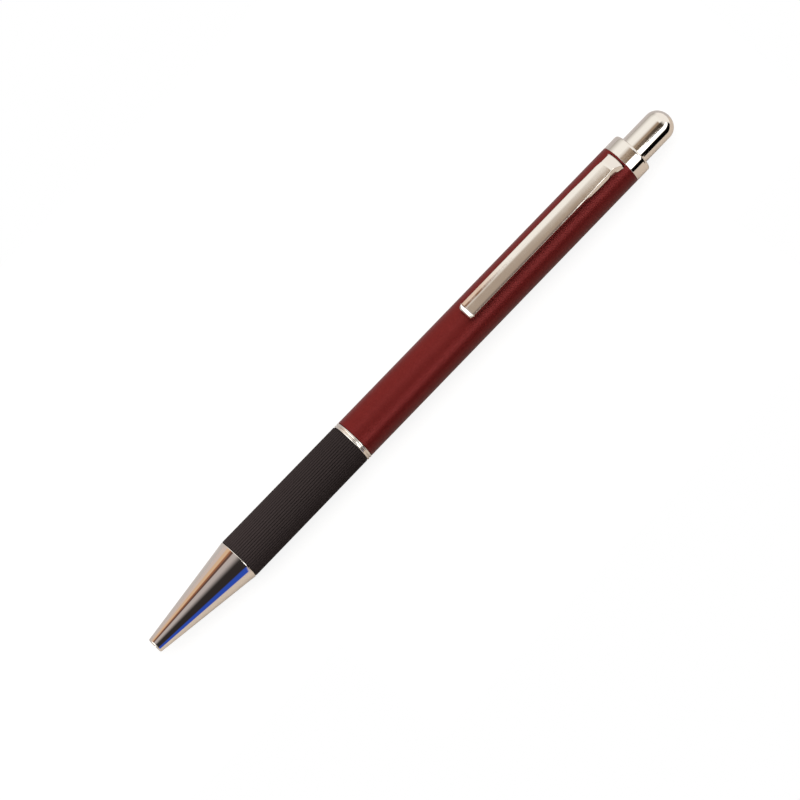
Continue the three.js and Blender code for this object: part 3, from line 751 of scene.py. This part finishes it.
def clip_rows(first, last, top, root_half, foot_low):
    """The clip's outer face from the end rounding to the foot: where each row is, which way it faces,
    and its flat half width, bend and flange depth."""
    start = last - CLIP_BEND
    stations = [first + CLIP_END, *steps(first + CLIP_END + 0.04, start - CLIP_RUN_OUT, 40)]
    stations += [start - CLIP_RUN_OUT * (1 - math.sin(turn)) for turn in steps(0, QUARTER, 12)[1:]]
    rows = []
    for station in stations:
        opened = eased((station - start + CLIP_OPENED) / CLIP_OPENING + 1)
        over = max(0, (station - start) / CLIP_RUN_OUT + 1)
        bend = QUARTER + (CLIP_OPEN_BEND - QUARTER) * opened
        flat = CLIP_FLAT - CLIP_NARROWED[0] * opened - CLIP_NARROWED[1] * eased(over)
        flange = (CLIP_FLANGE - CLIP_OPEN_LOSS * opened) * math.sqrt(max(0, 1 - over * over))
        rows.append((station, top, 0, flat, bend, flange))
    neck = neck_path(start, top, root_half)
    for station, height, turn, half in neck[1:]:
        bend = CLIP_OPEN_BEND * (1 - eased((station - start) / CLIP_EDGE_RUN_OUT))
        rows.append((station, height, turn, half - CLIP_EDGE * math.sin(bend), bend, 0))
    inner = CLIP_FOOT_BEND
    for height in steps(neck[-1][1], foot_low + inner, 3)[1:]:
        rows.append((last, height, QUARTER, root_half, 0, 0))
    length, half = CLIP_FOOT
    for turn in steps(0, QUARTER, 5)[1:]:
        width = root_half + (half - root_half) * turn / QUARTER
        station = last - inner + inner * math.cos(turn)
        rows.append((station, foot_low + inner - inner * math.sin(turn), QUARTER + turn, width, 0, 0))
    for station in steps(last - inner, last - CLIP_SHEET - length, 3)[1:]:
        rows.append((station, foot_low, 2 * QUARTER, half, 0, 0))
    return rows


def clip_lip(mesh, first, top, mirror):
    """One half of the lip: a strip under the top's flat part, and a fan of sections round the corner."""
    section = clip_section(CLIP_FLAT, QUARTER, CLIP_FLANGE)
    rounding = section[FLAT_STEPS : FLAT_STEPS + EDGE_STEPS + 1]
    crown = rounding[0][1]
    reach, fall = rounding[-1][0] - CLIP_FLAT, rounding[-1][1] - crown
    shares = [((side - CLIP_FLAT) / reach, (down - crown) / fall) for side, down in rounding]
    flange_foot = top - section[-1][1]

    def column(station, side, start, drop, foot, high):
        points = [
            place(
                first + CLIP_END + (station - first - CLIP_END) * out,
                (start + (side - start) * out) * mirror,
                high - drop * down,
            )
            for out, down in shares
        ]
        return points + [place(station, side * mirror, z) for z in steps(high - drop, foot, 3)[1:]]

    def front(side):
        over = max(0, (side - CLIP_HALF_WIDTH) / CLIP_CORNER + 1)
        return first + CLIP_CORNER * (1 - math.sqrt(max(0, 1 - over * over)))

    strip = [
        column(front(side), side, side, CLIP_END, CLIP_LIP, top - down)
        for side, down in section[: FLAT_STEPS + 1]
    ]
    side_line = CLIP_FLAT + reach
    start = math.asin((CLIP_FLAT - CLIP_HALF_WIDTH) / CLIP_CORNER + 1)
    corner = []
    for turn in steps(start, QUARTER, CORNER_STEPS):
        back, in_from_side = CLIP_CORNER * (1 - math.cos(turn)), CLIP_CORNER * (1 - math.sin(turn))
        corner.append((first + back, side_line - in_from_side))
    corner += [(s, side_line) for s in steps(first + CLIP_CORNER, first + CLIP_END, 3)[1:]]
    fan = []
    for i, (station, side) in enumerate(corner):
        share = eased(i / CORNER_STEPS)
        drop = CLIP_END + (fall - CLIP_END) * share
        foot = CLIP_LIP + (flange_foot - CLIP_LIP) * share
        fan.append(column(station, side, CLIP_FLAT, drop, foot, top - crown))
    add_grid(mesh, strip)
    add_grid(mesh, fan)


def neck_wall(mesh, start, top, root_half, mirror):
    """A closed wall under one side of the neck, which leans out a little down to the barrel."""
    foot, lean, inset, thickness = 4.2, 0.41, 0.03, 0.35
    tuck = 0.22  # below the sheet's outer face
    lead = 0.4  # length before the neck's start
    steepest = math.radians(60)
    path = [(s, top - tuck, CLIP_NECK) for s in steps(start - lead, start, 2)[:-1]]
    for station, height, turn, half in neck_path(start, top, root_half):
        if turn <= steepest:
            path.append((station - tuck * math.sin(turn), height - tuck * math.cos(turn), half))
    rings = []
    for station, height, half in path:
        low = min(height, foot)
        outer = [(half - inset + lean * share, height + (low - height) * share) for share in steps(0, 1, 5)]
        inner = [(side - thickness, z) for side, z in outer[::-1]]
        rings.append([place(station, side * mirror, z) for side, z in outer + inner])
    add_tube(mesh, rings)


def clip():
    """The sprung clip: a crowned channel with a closed, rounded lip. Towards the root its flanges open
    and end, and the sheet narrows to a neck, flares and curves down through the barrel's slot."""
    low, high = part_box("clip")
    first, last, root_half = span("clip")
    top = (high.z - axis_z) / MM
    foot_low = (low.z - axis_z) / MM
    mesh = bmesh.new()
    for mirror in (1, -1):
        grid = []
        for station, height, turn, flat, bend, flange in clip_rows(first, last, top, root_half, foot_low):
            grid.append(
                [
                    place(station - down * math.sin(turn), side * mirror, height - down * math.cos(turn))
                    for side, down in clip_section(flat, bend, flange)
                ]
            )
        add_grid(mesh, grid)
        clip_lip(mesh, first, top, mirror)
    piece = make_piece("pressed_clip", mesh, "clip", "chrome_plate", "clip")
    sheet = piece.modifiers.new("sheet", "SOLIDIFY")
    sheet.thickness = CLIP_SHEET * MM
    sheet.offset = -1
    edges = piece.modifiers.new("edges", "BEVEL")
    edges.width = 0.05 * MM
    edges.segments = 2
    edges.limit_method = "ANGLE"
    edges.angle_limit = math.radians(55)
    apply_modifiers(piece)
    walls = bmesh.new()
    for mirror in (1, -1):
        neck_wall(walls, last - CLIP_BEND, top, root_half, mirror)
    bmesh.ops.recalc_face_normals(walls, faces=walls.faces)
    walls.from_mesh(piece.data)
    walls.to_mesh(piece.data)
    walls.free()
    shade(piece.data, crease=40)
    return piece


# Click mechanism

CAM_CHANNELS = 4
CHANNEL_PITCH = FULL_TURN / CAM_CHANNELS
CHANNEL_HALF = math.radians(15)
LUG_HALF = math.radians(12)
LUG_RADIUS = 2.9
CAM_DRAFT = math.radians(2)
TOOTH_PITCH = FULL_TURN / 8
TOOTH_HEIGHT = 1
LOCK_TRAVEL, OVER_TRAVEL, TURN_ROOM = 4.3, 1.2, 0.5
ARC_STEPS = 12  # across a lug or channel
HAIR = 1e-6  # radians between a wall's foot and its top, so that it stands upright


def off_peak(angle, first_peak):
    """How far an angle lies off the nearest crown tooth: 0 on the peak and 1 in the valley."""
    turns = (angle - first_peak) / TOOTH_PITCH
    return 2 * abs(turns - round(turns))


def off_centre(angle, pitch, first=0):
    """Signed angle from the nearest of evenly spaced centres."""
    return (angle - first + pitch / 2) % pitch - pitch / 2


def turned_by(angles, outline_at):
    """An outline turned through chosen angles, so that the walls of steps stay sharp. The angles start
    at the pen's left, where the first lug and channel are, and not at straight up as in turned."""
    mesh = bmesh.new()
    rows = [
        [place(s, r * math.cos(angle), r * math.sin(angle)) for s, r in outline_at(i, angle)]
        for i, angle in enumerate(angles)
    ]
    add_grid(mesh, rows, close_rows=True, close_columns=True)
    return mesh


def stepped_angles(half):
    """Angles round the axis with two at each side of a lug or channel, and which of them lie on it."""
    angles, inside = [], []
    for i in range(CAM_CHANNELS):
        centre = i * CHANNEL_PITCH
        on = steps(centre - half, centre + half, ARC_STEPS)
        off = steps(centre + half, centre + CHANNEL_PITCH - half, 2 * ARC_STEPS)
        off[0] += HAIR
        off[-1] -= HAIR
        angles += on + off
        inside += [True] * len(on) + [False] * len(off)
    return angles, inside


def cam_sleeve():
    """Acetal sleeve with four channels and stepped cam teeth on the ribs between them."""
    first, last, outer = span("cam_sleeve")
    channel, rib, cup = 3.04, 2.44, outer - 0.35
    chamfer = 0.3
    cup_floor = span("thrust_tube")[0] + 9.1
    rotor_stem = 3.5
    notch = span("rotor")[1] - rotor_stem - TOOTH_HEIGHT - LOCK_TRAVEL
    ramp = OVER_TRAVEL - TURN_ROOM
    half_rib = CHANNEL_PITCH / 2 - CHANNEL_HALF
    tooth = half_rib - CAM_DRAFT / 2
    angles, inside = stepped_angles(CHANNEL_HALF)

    def outline(i, angle):
        across = off_centre(angle, CHANNEL_PITCH, CHANNEL_PITCH / 2)
        rise = (across + half_rib) / tooth if across < 0 else (across - CAM_DRAFT / 2) / tooth
        edge = notch - ramp + ramp * min(1, max(0, rise))
        inner = channel if inside[i] else rib
        return [
            (first, channel),
            (first, outer - chamfer),
            (first + chamfer, outer),
            (last, outer),
            (last, cup),
            (cup_floor, cup),
            (cup_floor, inner),
            (edge, inner),
            (edge, channel),
        ]

    mesh = turned_by(angles, outline)
    return make_piece("cam_channels", mesh, "body", "white_acetal", "cam_sleeve", TOOTH_CREASE)


def thrust_tube():
    """Black tube in the plunger cap: a flange, four guide lugs and a crown of eight teeth."""
    first, last, flange = span("thrust_tube")
    bore, radius, stem, chamfer = 1.75, 2.35, 2.66, 0.2
    flange_low, flange_high = first + 14.7, first + 15.9
    lug_low, lug_high = first + 2, first + 7
    angles, inside = stepped_angles(LUG_HALF)

    def outline(i, angle):
        crown = first + TOOTH_HEIGHT * off_peak(angle, 0)
        lug = LUG_RADIUS if inside[i] else radius
        return [
            (crown, bore),
            (crown, radius),
            (lug_low, radius),
            (lug_low, lug),
            (lug_high, lug),
            (lug_high, radius),
            (flange_low, radius),
            (flange_low, flange),
            (flange_high, flange),
            (flange_high, stem),
            (last - chamfer, stem),
            (last, stem - chamfer),
            (last, bore),
        ]

    mesh = turned_by(angles, outline)
    return make_piece("crown_tube", mesh, "plunger", "black_plastic", "thrust_tube", TOOTH_CREASE)


def rotor():
    """Acetal rotor: crown teeth a quarter pitch out of step with the tube's, four lugs with slanted
    tops, a stem above and a socket for the refill below."""
    first, last, _ = span("rotor")
    radius, stem, socket = 2.3, 1.6, 1.6
    edge, stem_edge = 0.15, 0.2
    crown_top, floor = first + 8.9, first + 5
    lug_top = crown_top - TOOTH_HEIGHT
    lug_low = lug_top - 3.4
    slant = 0.6  # fall of a lug's top from one side to the other
    angles, inside = stepped_angles(LUG_HALF)

    def outline(i, angle):
        tooth = crown_top - TOOTH_HEIGHT * off_peak(angle, 0.75 * TOOTH_PITCH)
        across = off_centre(angle, CHANNEL_PITCH)
        top = lug_top - (slant * (LUG_HALF - across) / (2 * LUG_HALF) if inside[i] else slant / 2)
        lug = LUG_RADIUS if inside[i] else radius
        return [
            (floor, 0),
            (floor, socket),
            (first + edge, socket),
            (first, socket + edge),
            (first, radius - edge),
            (first + edge, radius),
            (lug_low, radius),
            (lug_low, lug),
            (top, lug),
            (top, radius),
            (tooth, radius),
            (tooth, stem),
            (last - stem_edge, stem),
            (last, stem - stem_edge),
            (last, 0),
        ]

    mesh = drop_collapsed(turned_by(angles, outline))
    return make_piece("toothed_rotor", mesh, "refill", "white_acetal", "rotor", TOOTH_CREASE)


# Refill


def refill_point():
    """Nickel-silver point, turned to a fine nose that closes round the ball."""
    first, last, radius = span("refill_point")
    ball_first, ball_last, ball = span("refill_ball")
    centre = (ball_first + ball_last) / 2
    cup = ball + 0.02
    uncovered = 0.3  # share of the ball that stands out of the point
    mouth = 180 - math.degrees(math.acos(1 - 2 * uncovered))
    bore, spigot, chamfer = 0.35, 0.82, 0.15
    step = first + 1.35
    nose = first + 3.0
    groove, groove_length, groove_depth, groove_edge = nose + 1.2, 0.4, 0.06, 0.08
    shoulder = last - 2.8
    lip = (centre + cup * math.cos(math.radians(mouth)), cup * math.sin(math.radians(mouth)))
    outline = [
        *arc(centre, 0, cup, math.degrees(math.asin(bore / cup)), mouth, 12),
        (lip[0] - 0.01, lip[1] + 0.03),
        (lip[0] + 0.03, lip[1] + 0.07),
        (step, 0.66),
        (step + 0.1, 0.74),
        (nose, radius - 0.05),
        (nose + 0.1, radius),
        (groove, radius),
        (groove + groove_edge, radius - groove_depth),
        (groove + groove_length, radius - groove_depth),
        (groove + groove_length + groove_edge, radius),
        (shoulder, radius),
        (shoulder, spigot),
        (last - chamfer, spigot),
        (last, spigot - chamfer),
        (last, bore),
    ]
    mesh = turned(outline, SMALL_SIDES)
    return make_piece("nickel_point", mesh, "refill", "nickel", "refill_point")


def refill_ball():
    """Ground carbide ball."""
    first, last, _ = span("refill_ball")
    outline = arc((first + last) / 2, 0, (last - first) / 2, 180, 0, 24)
    mesh = drop_collapsed(turned([(s, max(0, r)) for s, r in outline], TINY_SIDES))
    return make_piece("writing_ball", mesh, "ball", "carbide", "refill_ball")


def refill_adapter():
    """Black plastic adapter between point and tube. Its flange carries the spring."""
    first, last, flange = span("refill_adapter")
    nose, socket, spigot, bore = 1.3, 0.87, 1.17, 0.5
    edge, nose_chamfer, chamfer = 0.1, 0.15, 0.2
    flange_high = span("refill_tube")[0] - SEAM
    flange_low = flange_high - 1.2
    socket_floor = first + 2.85
    outline = [
        (first, socket + edge),
        (first, nose - nose_chamfer),
        (first + nose_chamfer, nose),
        (flange_low, nose),
        *chamfered(flange_low, flange_high, flange, edge),
        (flange_high, spigot),
        (last - chamfer, spigot),
        (last, spigot - chamfer),
        (last, bore),
        (socket_floor, bore),
        (socket_floor, socket),
        (first + edge, socket),
    ]
    mesh = turned(outline, SMALL_SIDES)
    return make_piece("refill_collar", mesh, "refill", "black_plastic", "refill_adapter")


def refill_tube():
    """Drawn nickel-plated tube that holds the ink, with a crimped groove near its front end."""
    first, last, radius = span("refill_tube")
    bore = radius - 0.33
    edge = 0.06
    groove, half_groove, half_depth = first + 2.4, 0.4, 0.05
    crimp = [
        (groove + s, radius - half_depth * (1 + math.cos(math.pi * s / half_groove)))
        for s in steps(-half_groove, half_groove, 8)
    ]
    outline = [
        (first, bore),
        (first, radius - edge),
        (first + edge, radius),
        *crimp,
        *[(s, radius) for s in steps(groove + 2, last - 2, 8)],
        (last - edge, radius),
        (last, radius - edge),
        (last, bore),
    ]
    mesh = turned(outline, SMALL_SIDES)
    return make_piece("ink_tube", mesh, "refill", "nickel", "refill_tube")


def refill_plug():
    """Vented plug in the tube's far end."""
    first, last, radius = span("refill_plug")
    vent = 0.3
    outline = [(first, vent), *chamfered(first, last, radius, 0.15), (last, vent)]
    mesh = turned(outline, TINY_SIDES)
    return make_piece("vent_plug", mesh, "refill", "black_plastic", "refill_plug")


SPRING_TURNS = 13
SPRING_WIRE = 0.36
SPRING_END_GAP = 0.45
TURN_STEPS, WIRE_SIDES = 40, 12


def return_spring():
    """Compression spring of round drawn wire, 13 turns, with a closer turn at each end."""
    first, last, outer = span("return_spring")
    mean = outer - SPRING_WIRE / 2
    start = first + SPRING_WIRE / 2
    length = last - first - SPRING_WIRE
    end_pitch = SPRING_WIRE + SPRING_END_GAP
    middle_pitch = (length - 2 * end_pitch) / (SPRING_TURNS - 2)
    rings = []
    for turn in steps(0, SPRING_TURNS, SPRING_TURNS * TURN_STEPS):
        along = (
            end_pitch * min(turn, 1)
            + middle_pitch * min(max(turn - 1, 0), SPRING_TURNS - 2)
            + end_pitch * max(turn - SPRING_TURNS + 1, 0)
        )
        angle = FULL_TURN * turn
        ring = []
        for k in range(WIRE_SIDES):
            section = FULL_TURN * k / WIRE_SIDES
            radius = mean + SPRING_WIRE / 2 * math.cos(section)
            station = start + along + SPRING_WIRE / 2 * math.sin(section)
            ring.append(place(station, radius * math.cos(angle), radius * math.sin(angle)))
        rings.append(ring)
    mesh = bmesh.new()
    add_tube(mesh, rings)
    piece = make_piece("wire_spring", mesh, "body", "spring_steel", "return_spring", crease=50)
    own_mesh(piece)
    return piece


for make in (
    nose_cone,
    grip_core,
    grip_sleeve,
    trim_ring,
    barrel_bushing,
    barrel,
    top_collar,
    clip,
    cam_sleeve,
    plunger_cap,
    thrust_tube,
    rotor,
    refill_point,
    refill_ball,
    refill_adapter,
    refill_tube,
    refill_plug,
    return_spring,
):
    make()

# Camera

CAMERA_DISTANCE = 1.244
CAMERA_LENS = 300
VIEW_SIDE = math.radians(15.8)  # from straight above, towards -Y
VIEW_TILT = math.radians(5.4)  # from square to the pen, towards the writing end
PEN_SLOPE = math.radians(45.94)  # of the pen in the picture
AIM_RIGHT, AIM_UP = 0.002421, 0.003867  # from the middle of the picture to the pen's middle


def add_camera():
    """The pen is seen from above, a little from its right side and from its writing end."""
    side = math.cos(VIEW_TILT) * math.sin(VIEW_SIDE)
    height = math.cos(VIEW_TILT) * math.cos(VIEW_SIDE)
    back = Vector((-math.sin(VIEW_TILT), -side, height))
    along = (Vector((1, 0, 0)) - back.x * back).normalized()
    above = back.cross(along)
    right = math.cos(PEN_SLOPE) * along - math.sin(PEN_SLOPE) * above
    up = math.sin(PEN_SLOPE) * along + math.cos(PEN_SLOPE) * above
    aim = Vector((0, 0, axis_z)) - AIM_RIGHT * right - AIM_UP * up
    data = bpy.data.cameras.new("camera")
    data.lens = CAMERA_LENS
    data.sensor_width = 36
    data.clip_start = 0.05
    data.clip_end = 20
    camera = bpy.data.objects.new("camera", data)
    turn = Matrix((right, up, back)).transposed().to_4x4()
    camera.matrix_world = Matrix.Translation(aim + CAMERA_DISTANCE * back) @ turn
    bpy.context.scene.collection.objects.link(camera)
    bpy.context.scene.camera = camera


# Studio. Directions round the pen are in degrees from straight up, positive towards -Y, and tilts are
# the direction's share along +X.

WHITE = linear("#FFFFFF")
ALL_ROUND = (-200, 200)
CARDS = [
    # colour, strength, round from and to with their softness, tilt from and to with their softness
    # the ceiling, and the wall past the plunger
    ("#FFFDFA", 1.22, (-78, 50), (26, 4), (-2, 2), (0.1, 0.1)),
    ("#FFFBF8", 1.18, ALL_ROUND, (1, 1), (0.6, 2), (0.15, 0.1)),
    # brown bands in the collar and the plunger
    ("#AE967F", 1.0, (-10, 34), (9, 2), (0.06, 0.27), (0.02, 0.07)),
    ("#50453A", 1.0, (9, 44), (5, 1.5), (0.1457, 0.55), (0.0008, 0.25)),
    # the clip's top, its root, and the warm edge at its free end
    ("#BFAEA0", 1.0, (-21, 8), (4, 4), (0.1, 0.137), (0.01, 0.022)),
    ("#91817B", 1.0, (2, 40), (4, 1), (-0.03, 0.137), (0.02, 0.003)),
    ("#FFFBF6", 1.15, (-21, 22), (4, 4), (0.1385, 0.1402), (0.0008, 0.0004)),
    ("#FADDC7", 1.0, (-120, -28), (10, 2), (-0.04, 0.1165), (0.02, 0.002)),
    ("#996E53", 1.0, (-28.5, -22.5), (1.5, 2), (0.1, 0.117), (0.01, 0.002)),
    # a long lamp, a grey card that keeps it off the clip's edge, and its black rim
    ("#FFFFFF", 7.0, (29, 66), (3, 3), (-0.03, 0.137), (0.03, 0.003)),
    ("#8A7C76", 1.0, (26, 72), (1.5, 1.5), (0.0985, 0.1345), (0.004, 0.003)),
    ("#FFFFFF", 4.0, (32, 68.8), (1.5, 1.5), (0.137, 0.1457), (0.003, 0.0008)),
    ("#FFFFFF", 4.0, (45.5, 67.5), (1.5, 1.5), (0.1457, 0.82), (0.0008, 0.05)),
    ("#050404", 1.0, (72.5, 112), (1.2, 2), (-0.25, 0.9), (0.02, 0.05)),
    # what the ring's beads and the nose cone see, on the writing side
    ("#5A4034", 1.0, (-60, 40), (4, 4), (-0.14, 0.012), (0.02, 0.012)),
    ("#E4D4D0", 1.0, ALL_ROUND, (1, 1), (-0.42, -0.05), (0.04, 0.02)),
    ("#F0CBA9", 1.0, (-68, -44), (6, 2), (-0.42, -0.05), (0.04, 0.02)),
    ("#AD7453", 1.0, (-46.5, -35), (3.5, 3), (-0.42, -0.05), (0.04, 0.02)),
    ("#6F5148", 1.0, (-37, -24), (3, 3), (-0.42, -0.05), (0.04, 0.02)),
    ("#CCC3C3", 1.0, (-23.5, 60), (3.5, 1), (-0.42, -0.05), (0.04, 0.02)),
    ("#363131", 1.0, (8.5, 72), (18, 1), (-0.42, 0.06), (0.04, 0.04)),
    ("#3458CC", 1.0, (69, 100), (3.5, 3), (-0.24, -0.1), (0.03, 0.02)),
    # the light in the clip's lip
    ("#FFFDFA", 2.4, (-64, 8), (8, 8), (-1.5, -0.42), (0.1, 0.04)),
]
ELSEWHERE = "#BDB6B0"  # where no card is
SOFT_LIGHT = ((-49, 20), (28, 27))  # round from and to, and their softness
LIT_SIDE, DARK_SIDE = shining("#FFFCF8", 1.85), linear("#5B5756")


def within(tree, *limits):
    """A mask that is 1 within all the limits. Each is a value, where it starts and ends, and how softly
    it does so."""
    mask = None
    for value, edges, softness in limits:
        for edge, soft, (before, after) in zip(edges, softness, ((0, 1), (1, 0))):
            ends = {"From Min": edge - soft, "From Max": edge + soft, "To Min": before, "To Max": after}
            step = add(tree, "ShaderNodeMapRange", {0: value, **ends}, interpolation_type="SMOOTHSTEP")
            if mask is not None:
                step = add(tree, "ShaderNodeMath", {0: mask, 1: step.outputs[0]}, operation="MULTIPLY")
            mask = step.outputs[0]
    return mask


def add_world():
    """To the camera the room is white. Bright metal sees the cards, and everything else is lit by a soft
    light from above and the left, which fades towards the right."""
    world = bpy.data.worlds.new("studio")
    bpy.context.scene.world = world
    world.use_nodes = True
    tree = world.node_tree
    tree.nodes.clear()
    toward = add(tree, "ShaderNodeTexCoord")
    parts = add(tree, "ShaderNodeSeparateXYZ", {0: toward.outputs["Generated"]})
    front = add(tree, "ShaderNodeMath", {0: parts.outputs["Y"], 1: -1}, operation="MULTIPLY")
    turn = add(tree, "ShaderNodeMath", {0: front.outputs[0], 1: parts.outputs["Z"]}, operation="ARCTAN2")
    degrees = add(tree, "ShaderNodeMath", {0: turn.outputs[0]}, operation="DEGREES").outputs[0]
    colour = linear(ELSEWHERE)
    for code, strength, round_edges, round_softness, tilt_edges, tilt_softness in CARDS:
        mask = within(
            tree,
            (degrees, round_edges, round_softness),
            (parts.outputs["X"], tilt_edges, tilt_softness),
        )
        card = {"Factor": mask, "A": colour, "B": shining(code, strength)}
        colour = add(tree, "ShaderNodeMix", card, data_type="RGBA").outputs["Result"]
    soft = add(
        tree,
        "ShaderNodeMix",
        {"Factor": within(tree, (degrees, *SOFT_LIGHT)), "A": DARK_SIDE, "B": LIT_SIDE},
        data_type="RGBA",
    )
    path = add(tree, "ShaderNodeLightPath")
    shown = add(
        tree,
        "ShaderNodeMix",
        {"Factor": path.outputs["Is Glossy Ray"], "A": soft.outputs["Result"], "B": colour},
        data_type="RGBA",
    )
    seen = add(
        tree,
        "ShaderNodeMix",
        {"Factor": path.outputs["Is Camera Ray"], "A": shown.outputs["Result"], "B": WHITE},
        data_type="RGBA",
    )
    room = add(tree, "ShaderNodeBackground", {"Color": seen.outputs["Result"], "Strength": 1})
    add(tree, "ShaderNodeOutputWorld", {"Surface": room.outputs[0]})


PAPER_DROP = 0.02 * MM  # below the pen
PAPER_CHANGE = 2 * MM  # half the width over which the paper's painted shade changes, from its warm -Y half to its greyer +Y half, under the pen
PAPER_GLOW = 0.86  # with the light on its grey, this makes the paper white to the camera
PAPER_CORNERS = [
    # metres along X and Y; the notches are what the clip's and the collar's mirrored edges show
    (-0.16, -0.024),
    (-0.045, -0.024),
    (-0.044, -0.05),
    (0.05, -0.05),
    (0.05, -0.2),
    (0.0891, -0.2),
    (0.06302, -0.022),
    (0.09, -0.022),
    (0.09, 0.075),
    (-0.16, 0.075),
]


def add_floor():
    """A pale sheet under the pen. To the camera it is white where it is fully lit, and it keeps the
    pen's shadow. In metal it shows as warm paper that ends near the plunger, with its +Y half painted
    greyer as painted shade. To light that bounces off it onto the pen it is dark grey, a painted shade."""
    material, tree, point = start_material("paper")
    path = add(tree, "ShaderNodeLightPath")
    parts = add(tree, "ShaderNodeSeparateXYZ", {0: point})
    side = add(
        tree,
        "ShaderNodeMapRange",
        {0: parts.outputs["Y"], "From Min": -PAPER_CHANGE, "From Max": PAPER_CHANGE},
        interpolation_type="SMOOTHSTEP",
    )
    # painted shade: metal mirrors the paper's +Y half greyer and darker than its warm -Y half
    sheen = add(
        tree,
        "ShaderNodeMix",
        {"Factor": side.outputs[0], "A": linear("#E5D9CF"), "B": linear("#D4D0D2")},
        data_type="RGBA",
    )
    paper = add(tree, "ShaderNodeBsdfDiffuse", {"Color": sheen.outputs["Result"]})
    # painted shade: light bounced off the paper onto the pen comes from dark grey, standing in for the
    # pen's shadow on it
    dull = add(tree, "ShaderNodeBsdfDiffuse", {"Color": linear("#595655")})
    bounce = add(
        tree,
        "ShaderNodeMixShader",
        {0: path.outputs["Is Glossy Ray"], 1: dull.outputs[0], 2: paper.outputs[0]},
    )
    glow = add(tree, "ShaderNodeEmission", {"Color": WHITE, "Strength": PAPER_GLOW})
    grey = add(tree, "ShaderNodeBsdfDiffuse", {"Color": linear("#7C7C7C")})
    lit = add(tree, "ShaderNodeAddShader", {0: glow.outputs[0], 1: grey.outputs[0]})
    seen = add(
        tree,
        "ShaderNodeMixShader",
        {0: path.outputs["Is Camera Ray"], 1: bounce.outputs[0], 2: lit.outputs[0]},
    )
    data = bpy.data.meshes.new("paper_sheet")
    z = cad_low.z - PAPER_DROP
    data.from_pydata([(x, y, z) for x, y in PAPER_CORNERS], [], [range(len(PAPER_CORNERS))])
    data.materials.append(finished(material, seen))
    sheet = bpy.data.objects.new("paper_sheet", data)
    bpy.context.scene.collection.objects.link(sheet)


add_camera()
add_world()
add_floor()
bpy.context.scene.view_settings.view_transform = "Standard"
